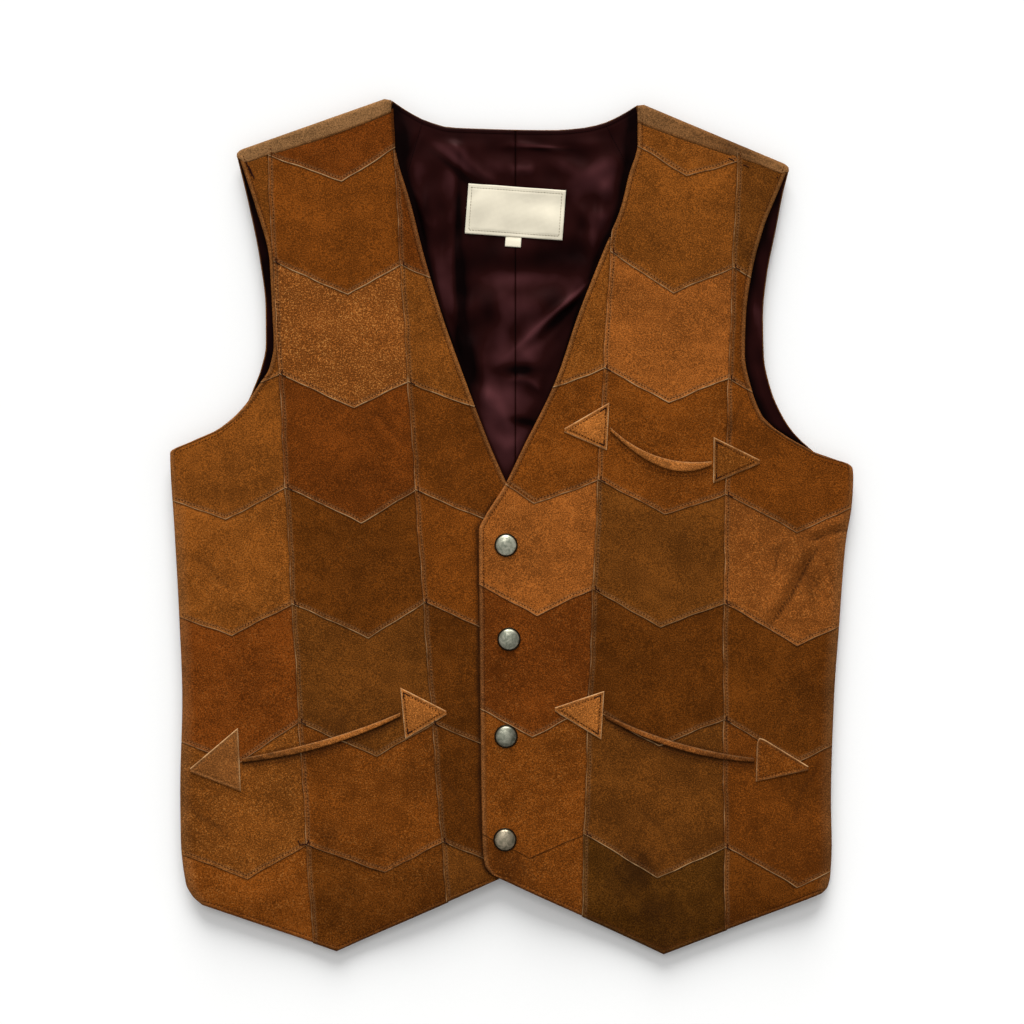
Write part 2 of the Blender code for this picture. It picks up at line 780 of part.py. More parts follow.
def make_snaps():
    """Domed snap caps with a rolled rim, turned about their posts."""
    profile = [(0.0, SNAP_HEIGHT)]
    dome = SNAP_RADIUS - SNAP_RIM
    for turn in (30, 60, 85):
        angle = math.radians(turn)
        rise = (SNAP_HEIGHT - SNAP_RIM) * math.cos(angle)
        profile.append((dome * math.sin(angle), SNAP_RIM + rise))
    profile.append((SNAP_RADIUS - SNAP_RIM / 2, SNAP_RIM))
    profile.append((SNAP_RADIUS, SNAP_RIM / 2))
    profile.append((SNAP_RADIUS - SNAP_RIM / 2, 0.0))
    profile.append((0.0, 0.0))
    metal = material("antique_nickel", "6e675a", 0.4, 1.0)
    for number, (x, y) in enumerate(SNAPS):
        rim_x = x + SNAP_RADIUS * np.array([-1, 1, 0, 0])
        rim_y = y + SNAP_RADIUS * np.array([0, 0, -1, 1])
        base = float(front_height(rim_x, rim_y, True).max()) + GAP
        form = bmesh.new()
        points = [form.verts.new((METRES * radius, 0, METRES * height)) for radius, height in profile]
        edges = [form.edges.new(pair) for pair in zip(points, points[1:])]
        bmesh.ops.spin(
            form, geom=points + edges, cent=(0, 0, 0), axis=(0, 0, 1), angle=2 * math.pi, steps=SNAP_SIDES
        )
        bmesh.ops.remove_doubles(form, verts=form.verts, dist=0.01 * METRES)
        bmesh.ops.recalc_face_normals(form, faces=form.faces)
        mesh = bpy.data.meshes.new(f"snap_{number + 1}")
        form.to_mesh(mesh)
        form.free()
        mesh.materials.append(metal)
        cap = bpy.data.objects.new(mesh.name, mesh)
        cap.location = (METRES * x, METRES * y, METRES * base)
        bpy.context.collection.objects.link(cap)


def make_label():
    """A bare woven label on the lining, and the small tab that hangs from its lower edge."""
    along_x, along_y = math.cos(LABEL_TURN), math.sin(LABEL_TURN)
    for name, size, drop, steps in (
        ("label", LABEL_SIZE, 0.0, (6, 4)),
        ("size_tab", SIZE_TAB_SIZE, SIZE_TAB_DROP, (2, 2)),
    ):
        u = np.linspace(-size[0] / 2, size[0] / 2, steps[0] + 1)[None, :]
        v = np.linspace(-size[1] / 2, size[1] / 2, steps[1] + 1)[:, None] - drop
        x = LABEL_CENTRE[0] + u * along_x - v * along_y
        y = LABEL_CENTRE[1] + u * along_y + v * along_x
        on_lining = laid_on(x, y, lambda x, y: np.full_like(x, LINING_TOP), LABEL)
        grid_wall(name, on_lining, material("woven_cream", "dfd6c2", 0.85))


clear_scene()
make_patches()
make_back()
make_lining()
make_welts()
make_tabs()
make_snaps()
make_label()
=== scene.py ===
import math

import bpy
import numpy as np
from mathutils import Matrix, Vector
from mathutils.bvhtree import BVHTree


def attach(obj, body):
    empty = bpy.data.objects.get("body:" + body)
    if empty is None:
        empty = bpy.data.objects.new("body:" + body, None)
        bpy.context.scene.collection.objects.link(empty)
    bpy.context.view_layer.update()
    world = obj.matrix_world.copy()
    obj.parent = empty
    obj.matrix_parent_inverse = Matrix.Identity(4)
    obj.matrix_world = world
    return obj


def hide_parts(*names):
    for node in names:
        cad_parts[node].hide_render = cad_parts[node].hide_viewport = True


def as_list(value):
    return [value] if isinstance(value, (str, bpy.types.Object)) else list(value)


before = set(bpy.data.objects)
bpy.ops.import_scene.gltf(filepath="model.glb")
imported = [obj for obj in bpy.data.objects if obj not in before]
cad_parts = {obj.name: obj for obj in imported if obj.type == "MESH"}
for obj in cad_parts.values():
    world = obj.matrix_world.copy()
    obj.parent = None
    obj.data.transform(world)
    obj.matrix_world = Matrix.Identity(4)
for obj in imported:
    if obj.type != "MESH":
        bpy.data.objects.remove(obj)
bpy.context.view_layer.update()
mm = 0.001
farOff = 1e3  # millimetres, well beyond the vest


def linear(hexColour, gain=1.0):
    channels = [int(hexColour[i : i + 2], 16) / 255 for i in (0, 2, 4)]
    raised = [c / 12.92 if c <= 0.04045 else ((c + 0.055) / 1.055) ** 2.4 for c in channels]
    return [min(1.0, c * gain) for c in raised] + [1.0]


def fillInputs(tree, node, inputs):
    # Links an input to another node's output, or sets it to a constant
    for key, value in inputs.items():
        if isinstance(value, bpy.types.NodeSocket):
            tree.links.new(value, node.inputs[key])
        else:
            node.inputs[key].default_value = value


def addNode(tree, kind, settings=None, inputs=None, output=0, stops=()):
    # Gives back the output to link from, or all of them where none is asked for
    node = tree.nodes.new(kind)
    for key, value in (settings or {}).items():
        setattr(node, key, value)
    fillInputs(tree, node, inputs or {})
    if stops:
        elements = node.color_ramp.elements
        while len(elements) < len(stops):
            elements.new(0.5)
        for element, (place, colour) in zip(elements, stops):
            element.position, element.color = place, colour
    return node.outputs if output is None else node.outputs[output]


def startMaterial(name):
    made = bpy.data.materials.new(name)
    made.use_nodes = True
    tree = made.node_tree
    place = addNode(tree, "ShaderNodeTexCoord", output="Object")
    return made, tree, tree.nodes["Principled BSDF"], place


suedeFinish = {
    "lots": {"amber": "9e5d26", "honey": "84491a", "tan": "764113", "chestnut": "6b370c", "rust": "65310a",
             "tobacco": "60350e", "umber": "582d08", "bark": "4a2a08"},
    # The amber offcuts of the tabs came from the honey hide
    "slots": {"amber": "suede_honey"},
    # The grime colour darkens both for real grime and for painted shade
    "gain": 0.785, "worn": "8a633d", "tips": "cf9650", "cutEdge": "c29a6c", "grimeAndShade": "1d0d05",
    "sheen": "a86a2a",
    # Noises of the hide: size in mm, how far it swings the tone, the rest of its settings
    "noises": {
        "cloud": (42.0, 0.8, {"Detail": 2.0}),
        "brush": (9.0, 0.58, {"Detail": 3.0, "Distortion": 0.6}),
        "nap": (0.78, 3.3, {"Detail": 3.0, "Roughness": 0.65}),
        "nub": (1.05, 1.2, {"Detail": 2.0, "Roughness": 0.6}),
    },
    # Where a noise becomes nubs, pale tips and frayed edges: from, to, and what it gives there
    "nubRange": (0.53, 0.7, -0.02, 0.55), "tipRange": (0.36, 0.62, 0.1, 0.75),
    "frayRange": (0.38, 0.58, 0.4, 1.0),
    # Depth of the dyed and of the worn suede at its darkest, middle and palest tone
    "dyeDepths": (0.56, 1.0, 2.2), "wornDepths": (0.5, 1.0, 1.6),
}
suedeMade = {}


def suede(lot):
    # Split cowhide, drum dyed and buffed: a matt nap that clouds where it is brushed, paler where it is cut
    if lot in suedeMade:
        return suedeMade[lot]
    look, gain = suedeFinish, suedeFinish["gain"]
    made, tree, shader, place = startMaterial("suede" + lot.title())
    mark = {name: addNode(tree, "ShaderNodeAttribute", {"attribute_name": name}, output="Fac")
            for name in ("hide", "coarse", "dye", "rub", "grimeAndShade", "cut")}
    apart = addNode(tree, "ShaderNodeCombineXYZ", inputs={"Z": mark["hide"]})
    spot = addNode(tree, "ShaderNodeVectorMath", {"operation": "ADD"}, {0: place, 1: apart})
    noise = {name: addNode(tree, "ShaderNodeTexNoise", inputs={
        "Vector": spot, "Scale": 1 / (size * mm), **grain})
        for name, (size, _, grain) in look["noises"].items()}
    nubs, tips, frayed = (
        addNode(tree, "ShaderNodeMapRange", inputs=dict(enumerate((noise[name], *look[limits]))))
        for name, limits in (("nub", "nubRange"), ("brush", "tipRange"), ("brush", "frayRange")))
    # The nubs only show where the hide's grain is coarse; the other noises swing about their middle
    nubbed = addNode(tree, "ShaderNodeMath", {"operation": "MULTIPLY"}, {0: nubs, 1: mark["coarse"]})
    flecks = addNode(tree, "ShaderNodeMath", {"operation": "MULTIPLY"}, {0: tips, 1: nubbed})
    raw = addNode(tree, "ShaderNodeMath", {"operation": "MULTIPLY", "use_clamp": True},
                  {0: frayed, 1: mark["cut"]})
    tone = addNode(tree, "ShaderNodeMath", {"operation": "ADD"}, {0: 0.5, 1: mark["dye"]})
    for name, (_, swing, _) in look["noises"].items():
        value, middle = (nubbed, 0.0) if name == "nub" else (noise[name], 0.5)
        scaled = addNode(tree, "ShaderNodeMath", {"operation": "MULTIPLY_ADD"},
                         {0: value, 1: swing, 2: -swing * middle})
        tone = addNode(tree, "ShaderNodeMath", {"operation": "ADD"}, {0: tone, 1: scaled})
    colour, worn = (
        addNode(tree, "ShaderNodeValToRGB", inputs={"Fac": tone}, stops=[
            (at, linear(dye, depth * gain)) for at, depth in zip((0.0, 0.5, 1.0), look[depths])])
        for dye, depths in ((look["lots"][lot], "dyeDepths"), (look["worn"], "wornDepths")))
    # The grime mark mixes in real grime and painted shade alike
    for amount, over in ((flecks, linear(look["tips"], gain)), (mark["rub"], worn),
                         (mark["grimeAndShade"], linear(look["grimeAndShade"])), (raw, linear(look["cutEdge"]))):
        colour = addNode(tree, "ShaderNodeMix", {"data_type": "RGBA"}, {0: amount, 6: colour, 7: over}, 2)
    bump = addNode(tree, "ShaderNodeBump", inputs={"Height": tone, "Strength": 0.35, "Distance": 0.22 * mm})
    fillInputs(tree, shader, {
        "Base Color": colour, "Normal": bump, "Roughness": 0.95, "Specular IOR Level": 0.03,
        "Sheen Weight": 0.06, "Sheen Roughness": 0.45, "Sheen Tint": linear(look["sheen"])})
    suedeMade[lot] = made
    return made


def slotOf(lot):
    return suedeFinish["slots"].get(lot, "suede_" + lot)


# The first colour is painted shade and the last painted sheen; the ground between is the satin's own dark
# colour
satinFinish = {"paintedShade": "030101", "ground": "210a09", "sheen": "4a2729", "shine": "e09a9a",
               "twillMm": 0.9, "cloudMm": 24.0}
waveScale = 0.31  # the scale at which a wave texture's bands are a metre apart


def satinMaterial():
    # Acetate lining satin: long floating threads, so a dark ground; the sheen along its folds and the shade in
    # them are painted into the base colour
    look = satinFinish
    made, tree, shader, place = startMaterial("acetateSatinMaroon")
    cloud = addNode(tree, "ShaderNodeTexNoise", inputs={
        "Vector": place, "Scale": 1 / (look["cloudMm"] * mm), "Detail": 2.0})
    # Base colour from painted shade through the ground to a painted sheen: the fold mark holds painted sheen
    # and painted shade, and a random mottle of painted sheen is added
    fold = addNode(tree, "ShaderNodeAttribute", {"attribute_name": "fold"}, output="Fac")
    mottledSheen = addNode(tree, "ShaderNodeMath", {"operation": "MULTIPLY_ADD"}, {0: cloud, 1: 1.2, 2: -0.6})
    both = addNode(tree, "ShaderNodeMath", {"operation": "ADD"}, {0: fold, 1: mottledSheen})
    share = addNode(tree, "ShaderNodeMapRange", inputs={0: both, 1: -1.0, 2: 1.0})
    dyed = addNode(tree, "ShaderNodeValToRGB", inputs={"Fac": share}, stops=[
        (at, linear(look[colour])) for at, colour in ((0.0, "paintedShade"), (0.5, "ground"), (1.0, "sheen"))])
    # The floats are about 0.1 mm apart; drawn coarser so that they show
    twill = addNode(tree, "ShaderNodeTexWave", {"bands_direction": "DIAGONAL"}, {
        "Vector": place, "Scale": waveScale / (look["twillMm"] * mm), "Distortion": 0.6}, "Fac")
    bump = addNode(tree, "ShaderNodeBump", inputs={"Height": twill, "Strength": 0.12, "Distance": 0.05 * mm})
    fillInputs(tree, shader, {
        "Base Color": dyed, "Normal": bump, "Roughness": 0.4, "Specular IOR Level": 0.06,
        "Specular Tint": linear(look["shine"])})
    return made


labelFinish = {"colour": "e2d9c2", "threadMm": 0.8, "agedMm": 16, "turn": math.radians(4.2)}


def labelMaterial():
    # Woven taffeta label: a plain weave of cream threads, matt, a little yellowed
    look = labelFinish
    made, tree, shader, place = startMaterial("wovenTaffetaCream")
    turned = addNode(tree, "ShaderNodeMapping", inputs={
        "Vector": place, "Rotation": (0.0, 0.0, look["turn"])})
    # Real threads are about 0.2 mm; drawn coarser so that the weave shows
    warp, weft = (
        addNode(tree, "ShaderNodeTexWave", {"bands_direction": way}, {
            "Vector": turned, "Scale": waveScale / (look["threadMm"] * mm), "Distortion": 0.3}, "Fac")
        for way in ("X", "Y"))
    weave = addNode(tree, "ShaderNodeMath", {"operation": "MULTIPLY"}, {0: warp, 1: weft})
    aged = addNode(tree, "ShaderNodeTexNoise", inputs={
        "Vector": turned, "Scale": 1 / (look["agedMm"] * mm), "Detail": 4.0})
    mixed = addNode(tree, "ShaderNodeMath", {"operation": "MULTIPLY_ADD"}, {0: weave, 1: 0.35, 2: aged})
    dyed = addNode(tree, "ShaderNodeValToRGB", inputs={"Fac": mixed}, stops=[
        (at, linear(look["colour"], depth)) for at, depth in ((0.25, 0.88), (0.95, 1.1))])
    bump = addNode(tree, "ShaderNodeBump", inputs={"Height": weave, "Strength": 0.4, "Distance": 0.12 * mm})
    fillInputs(tree, shader, {
        "Base Color": dyed, "Normal": bump, "Roughness": 0.85, "Specular IOR Level": 0.25})
    return made


threadFinish = {"wornMm": 14, "depths": ((0.3, 0.7), (0.7, 1.3))}


def threadMaterial(name, hexColour):
    # Spun polyester thread: a soft twist, a touch glossier than the suede it sinks into
    made, tree, shader, place = startMaterial(name)
    worn = addNode(tree, "ShaderNodeTexNoise", inputs={
        "Vector": place, "Scale": 1 / (threadFinish["wornMm"] * mm), "Detail": 2.0})
    dyed = addNode(tree, "ShaderNodeValToRGB", inputs={"Fac": worn}, stops=[
        (at, linear(hexColour, depth)) for at, depth in threadFinish["depths"]])
    fillInputs(tree, shader, {"Base Color": dyed, "Roughness": 0.8, "Specular IOR Level": 0.03})
    return made


snapFinish = {"bright": "c8c8b4", "dull": "858a7a", "brass": "ffe3d3", "patina": "211d15", "tarnishMm": 3.5}


def snapMaterial():
    # Antiqued nickel: plated brass toned dark, so the rim keeps its patina; the rim mark also holds painted
    # shade deepening away from a painted highlight near the crown
    look = snapFinish
    made, tree, shader, place = startMaterial("antiquedNickel")
    tarnish = addNode(tree, "ShaderNodeTexNoise", inputs={
        "Vector": place, "Scale": 1 / (look["tarnishMm"] * mm), "Detail": 4.0, "Distortion": 1.2})
    colour = addNode(tree, "ShaderNodeValToRGB", inputs={"Fac": tarnish}, stops=[
        (0.35, linear(look["dull"])), (0.65, linear(look["bright"]))])
    for mark, blend, over in (("warm", "MULTIPLY", "brass"), ("rim", "MIX", "patina")):
        amount = addNode(tree, "ShaderNodeAttribute", {"attribute_name": mark}, output="Fac")
        colour = addNode(tree, "ShaderNodeMix", {"data_type": "RGBA", "blend_type": blend}, {
            0: amount, 6: colour, 7: linear(look[over])}, 2)
    scuffed = addNode(tree, "ShaderNodeMapRange", inputs={0: tarnish, 1: 0.3, 2: 0.7, 3: 0.5, 4: 0.3})
    fillInputs(tree, shader, {"Base Color": colour, "Roughness": scuffed, "Metallic": 1.0})
    return made


satin = satinMaterial()
labelCloth = labelMaterial()
seamThread = threadMaterial("spunPolyesterBrown", "4a2409")
tackThread = threadMaterial("spunPolyesterPlum", "230f0c")
liningThread = threadMaterial("spunPolyesterWine", "0d0304")
labelThread = threadMaterial("spunPolyesterEcru", "6a5d42")
snapMetal = snapMaterial()
print("finishes ready")


# The cutting pattern, as in the CAD
vestLay = {
    "gap": 0.3, "suede": 1.5, "liningTop": 2.8, "frontTop": 4.6, "sideSeam": 2.3,
    "lift": 2.0, "liftFromSide": 85.0, "liftFromHem": 90.0, "liftFromShoulder": 120.0,
    "sag": 3.0, "sagFrom": -250.0, "sagOver": 38.0, "lapRise": 1.8, "lapEdge": 14.0, "lapFade": 46.0,
    "sideRoll": 6.0, "shoulderRoll": 3.0, "rollFade": 60.0, "backRollLater": 18.0,
    "cornerRound": {"arm": 5.0, "neck": 3.0}, "halfWidth": 234.2, "shoulderTop": 294.3, "hemPoint": -294.3,
    "centreBack": 2.5,
}
# Armholes from the shoulder down: height, edge of the front, edge of the back
armholes = {
    "right": ((257, -188.5, -189.5), (220, -176, -180.5), (183, -166, -173), (150, -163.5, -169),
              (124, -163, -168.8), (108, -166, -172), (96, -173.5, -176.5), (80, -185, -184),
              (66, -201.5, -199.5), (58, -219, -216)),
    "left": ((247, 190.5, 191), (225, 181, 185.5), (204, 172.5, 181.5), (171, 164, 175),
             (145, 160.5, 172.5), (117, 159.6, 173), (93, 164.4, 178), (73, 173, 187), (62, 187, 195),
             (54, 201, 203.5), (47, 215, 212.5), (44.4, 225, 222.5), (42.6, 230.5, 228.5)),
}
# Side folds from the armpit to the hem corner: height, outline
sideFolds = {
    "right": ((50, -234.2), (0, -231.5), (-60, -228.2), (-120, -226), (-180, -227.4), (-215, -227),
              (-245, -223.6), (-254, -219), (-260, -212.5)),
    "left": ((39.5, 233.7), (34, 234.2), (15, 233.2), (-12, 229), (-68, 224.6), (-120, 221), (-190, 219),
             (-218, 219.5), (-240, 218.5), (-248, 216.5), (-252, 213)),
}
# Neck and centre edge of each front from the shoulder down: height, edge
neckEdges = {
    "right": ((294, -82.7), (260, -80), (219, -68.7), (186, -60.3), (145, -48), (100, -32), (54, -14.5),
              (31, -4.4), (-6, 12.5), (-240, 12.5)),
    "left": ((290.5, 86.2), (262, 86.2), (239.5, 80), (219, 75), (182, 60.3), (145, 45.7), (100, 30.3),
             (51, 6.5), (28.5, -4.4), (3.3, -20), (-3, -22.5), (-125, -21.5), (-218, -20), (-232, -18.5),
             (-238, -14.5), (-241, -9)),
}
# Neckline of the back: across, height
backNeckline = ((-82.7, 292), (-71.7, 284.6), (-59, 278), (-41, 273.2), (29, 271.5), (50, 273.2), (64, 276.6),
                (75, 281.8), (86.2, 288.6))
shoulders = {
    "right": {"arm": -189.5, "armFold": 256.6, "armSeam": 249.5, "neck": -82.7, "neckFold": 294.3,
              "neckSeam": 284.3},
    "left": {"arm": 191.0, "armFold": 246.6, "armSeam": 242.3, "neck": 86.2, "neckFold": 290.6,
             "neckSeam": 277.0},
}
# Hems: centre end, point, side end
hems = {
    "right": ((12.5, -232.6), (-120.4, -292.2), (-212.5, -260.0)),
    "left": ((-9.0, -241.2), (103.6, -294.3), (213.0, -252.0)),
}
backHemSide, backHemCentre = -244.0, -233.0
# Column seams: across at 250 above, at, and 250 below the middle
seamReach = 250.0
seamPlaces = {
    "right_side": (-167.0, -153.5, -138.5),
    "right_centre": (-80.3, -64.3, -45.3),
    "left_centre": (71.5, 57.6, 48.6),
    "left_side": (154.7, 146.0, 146.0),
}
# Heights where each chevron row meets a seam, and how far below them its point lies in each column
rowHeights = {
    "right_side": (254, 181, 104, 26.5, -53, -134, -218.5),
    "right_centre": (259, 179, 98.5, 24.5, -52, -135, -216),
    "left_centre": (260, 187.5, 108, 32, -43, -124, -210.5),
    "left_side": (250, 177, 101, 21.5, -52.5, -132.5, -220),
}
tipDrops = {
    "right_side": (0, 0, 20, 22.5, 22.5, 28.5, 23),
    "right_middle": (21, 22, 20.5, 23.5, 24.5, 23.5, 20),
    "right_centre": (0, 21, 17, 20.5, 21, 20, 19),
    "left_centre": (0, 0, 15, 17, 18.5, 20.5, 17),
    "left_middle": (15.5, 23, 20, 19, 22, 22.5, 26),
    "left_side": (0, 30, 30, 26, 30, 29.5, 27.5),
}


def ramp(t):
    t = np.clip(t, 0.0, 1.0)
    return t * t * (3 - 2 * t)


def hump(distance, width):
    return np.exp(-((distance / width) ** 2))


def roundOver(distance, radius):
    # How far a round edge has dropped, as a share of its radius
    return 1 - np.sqrt(1 - np.clip(1 - distance / radius, 0.0, 1.0) ** 2)


def besideLine(x, y, start, end, slack=0.2):
    # Share of the way along a line, distance to its side, and a fade towards both its ends
    (ax, ay), (bx, by) = start, end
    length = math.hypot(bx - ax, by - ay)
    ux, uy = (bx - ax) / length, (by - ay) / length
    along = ((x - ax) * ux + (y - ay) * uy) / length
    across = (x - ax) * uy - (y - ay) * ux
    return along, across, ramp((along + slack) / (slack + 0.2)) * ramp((1 + slack - along) / (slack + 0.2))


def smoothCurve(rows):
    # Passes through (place, value) rows and never overshoots them
    places, values = np.array(sorted(rows), float).T
    spans = np.diff(places)
    slopes = np.diff(values) / spans
    tangents = np.concatenate([slopes[:1], np.zeros(len(slopes) - 1), slopes[-1:]])
    for i in range(1, len(slopes)):
        if slopes[i - 1] * slopes[i] > 0:
            tangents[i] = 2 * slopes[i - 1] * slopes[i] / (slopes[i - 1] + slopes[i])

    def value(place):
        place = np.clip(place, places[0], places[-1])
        i = np.clip(np.searchsorted(places, place) - 1, 0, len(spans) - 1)
        t = (place - places[i]) / spans[i]
        pull = (tangents[i] - slopes[i]) * (1 - t) + (slopes[i] - tangents[i + 1]) * t
        return values[i] + spans[i] * (slopes[i] * t + t * (1 - t) * pull)

    return value


def outlineCurve(side, column):
    return smoothCurve([(row[0], row[column]) for row in armholes[side]] + list(sideFolds[side]))


frontEdge = {side: outlineCurve(side, 1) for side in armholes}
backEdge = {side: outlineCurve(side, 2) for side in armholes}
neckEdge = {side: smoothCurve(neckEdges[side]) for side in neckEdges}
backNeck = smoothCurve(backNeckline)
armpit = {side: sideFolds[side][0][0] for side in sideFolds}


def seamCurve(name):
    top, middle, bottom = seamPlaces[name]
    lean, bow = (top - bottom) / 2, (top + bottom) / 2 - middle
    return lambda y: middle + lean * y / seamReach + bow * (y / seamReach) ** 2


seam = {name: seamCurve(name) for name in seamPlaces}


def lineHeight(x, start, end):
    return start[1] + (x - start[0]) * (end[1] - start[1]) / (end[0] - start[0])


def shoulderLine(x, at):
    lines = []
    for shoulder in (shoulders["right"], shoulders["left"]):
        arm, neck = (shoulder["arm"], shoulder["arm" + at]), (shoulder["neck"], shoulder["neck" + at])
        lines.append(lineHeight(x, arm, neck))
    return np.where(x < 0, *lines)


def shoulderFold(x):
    # The shoulder fold, rounded off at its two ends
    fold = shoulderLine(x, "Fold")
    for shoulder in shoulders.values():
        for end, corner in vestLay["cornerRound"].items():
            fold = fold - 0.8 * corner * roundOver(np.abs(x - shoulder[end]), corner)
    return fold


def hemHeight(side):
    centre, point, end = hems[side]
    towards = 1 if end[0] > point[0] else -1
    return lambda x: np.where((x - point[0]) * towards > 0,
                              lineHeight(x, point, end), lineHeight(x, point, centre))


def backHem(x):
    return backHemCentre + (backHemSide - backHemCentre) * (x / vestLay["halfWidth"]) ** 2


def frontHeight(x, y, lapped):
    lay = vestLay
    lift = lay["lift"] * ramp((lay["halfWidth"] - np.abs(x)) / lay["liftFromSide"])
    lift = lift * ramp((y - lay["hemPoint"]) / lay["liftFromHem"])
    lift = lift * ramp((lay["shoulderTop"] - y) / lay["liftFromShoulder"])
    sag = lay["sag"] * ramp((lay["sagFrom"] - y) / lay["sagOver"])
    lap = lay["lapRise"] * (1 - ramp((x - lay["lapEdge"]) / lay["lapFade"])) if lapped else 0.0
    return lay["frontTop"] + lift - sag + lap


def foldAmount(y, side, later=0.0):
    return ramp((armpit[side] - later - y) / vestLay["rollFade"])


# Cloth is built as closed shells; the stops crowd the points towards an edge
edgeStops = np.array([0.0, 0.3, 0.7, 1.2, 1.8, 2.5, 3.3, 4.3])


def stopsAlong(length, step):
    # Shares of a length: close together at both edges, one step apart between them
    reach = edgeStops[-1]
    if length < 2 * reach + 2 * step:
        return np.linspace(0, 1, max(6, int(length / 0.8)))
    count = int(math.ceil((length - 2 * reach) / step))
    inner = np.linspace(reach, length - reach, count + 1)[1:-1]
    return np.concatenate([edgeStops, inner, length - edgeStops[::-1]]) / length


def addObject(name, data):
    added = bpy.data.objects.new(name, data)
    bpy.context.scene.collection.objects.link(added)
    return added


def addPiece(name, points, faces, finish, marks, smoothCount=None):
    mesh = bpy.data.meshes.new(name)
    mesh.from_pydata((np.asarray(points) * mm).tolist(), [], faces)
    mesh.polygons.foreach_set("use_smooth", np.arange(len(faces)) < (smoothCount or len(faces)))
    for mark, values in marks.items():
        mesh.attributes.new(mark, "FLOAT", "POINT").data.foreach_set("value", np.asarray(values, np.float32))
    mesh.materials.append(finish)
    mesh.update()
    return addObject(name, mesh)


def roundTheLoop(left, low, right, top):
    # Values along the four sides of a grid, in the order of its border
    return np.concatenate([left[:-1], low[:-1], right[::-1][:-1], top[::-1][:-1]])


def gridCells(index):
    corners = [index[:-1, :-1], index[1:, :-1], index[1:, 1:], index[:-1, 1:]]
    return np.stack(corners, -1).reshape(-1, 4).tolist()


def neighbours(heights):
    padded = np.pad(heights, 1, mode="edge")
    return padded[:-2, 1:-1], padded[2:, 1:-1], padded[1:-1, :-2], padded[1:-1, 2:]


underStep = 6  # the underside has one cell for so many of the face's


def closedCloth(name, top, drop, flare, finish, marks):
    # A grid of points for the face, an edge that turns down, and a plain underside
    rows, across = top.shape[:2]
    index = np.arange(rows * across).reshape(rows, across)
    loop = roundTheLoop(index[:, 0], index[-1], index[:, -1], index[0])
    drop, flare = np.broadcast_to(drop, loop.shape), np.broadcast_to(flare, loop.shape)
    points = top.reshape(-1, 3)
    border = points[loop]
    along = np.roll(border, -1, 0) - np.roll(border, 1, 0)
    length = np.maximum(np.hypot(along[:, 0], along[:, 1]), 1e-6)
    outward = np.stack([along[:, 1] / length, -along[:, 0] / length, np.zeros(len(loop))], -1)
    up = np.array([0.0, 0.0, 1.0])
    middle = border + outward * flare[:, None] - up * (0.5 * drop)[:, None]
    bottom = border + outward * (0.6 * flare)[:, None] - up * drop[:, None]
    count, size = rows * across, len(loop)
    ring = np.arange(size)
    after = np.roll(ring, -1)
    faces = gridCells(index)
    faces += np.stack([count + ring, count + after, loop[after], loop], -1).tolist()
    faces += np.stack([count + size + ring, count + size + after, count + after, count + ring], -1).tolist()
    smoothCount = len(faces)
    # The underside follows the face in coarse cells
    under = dict(zip(loop.tolist(), (count + size + ring).tolist()))
    rowStops, columnStops = (sorted(set(range(0, end, underStep)) | {end - 1}) for end in (rows, across))
    kept = []
    for j in rowStops[1:-1]:
        for i in columnStops[1:-1]:
            under[int(index[j, i])] = count + 2 * size + len(kept)
            kept.append(int(index[j, i]))
    for j, nextJ in zip(rowStops, rowStops[1:]):
        for i, nextI in zip(columnStops, columnStops[1:]):
            leftSide = range(j, nextJ) if i == 0 else (j,)
            lowSide = range(i, nextI) if nextJ == rows - 1 else (i,)
            rightSide = range(nextJ, j, -1) if nextI == across - 1 else (nextJ,)
            topSide = range(nextI, i, -1) if j == 0 else (nextI,)
            cell = [index[r, i] for r in leftSide] + [index[nextJ, c] for c in lowSide]
            cell += [index[r, nextI] for r in rightSide] + [index[j, c] for c in topSide]
            faces.append([under[int(corner)] for corner in reversed(cell)])
    lowest = top[..., 2]
    for _ in range(underStep):
        lowest = np.minimum.reduce([*neighbours(lowest), lowest])
    inner = points[kept]
    inner[:, 2] = lowest.ravel()[kept] - 0.8 * float(np.median(drop))
    allMarks = {}
    for mark, values in marks.items():
        values = np.broadcast_to(values, (rows, across)).ravel()
        allMarks[mark] = np.concatenate([values, values[loop], values[loop], values[kept]])
    allPoints = np.concatenate([points, middle, bottom, inner])
    return addPiece(name, allPoints, faces, finish, allMarks, smoothCount)


def planArea(top):
    x, y = top[..., 0], top[..., 1]
    ax, ay = x[1:, 1:] - x[:-1, :-1], y[1:, 1:] - y[:-1, :-1]
    bx, by = x[1:, :-1] - x[:-1, 1:], y[1:, :-1] - y[:-1, 1:]
    return float(np.abs(ax * by - ay * bx).sum() / 2)


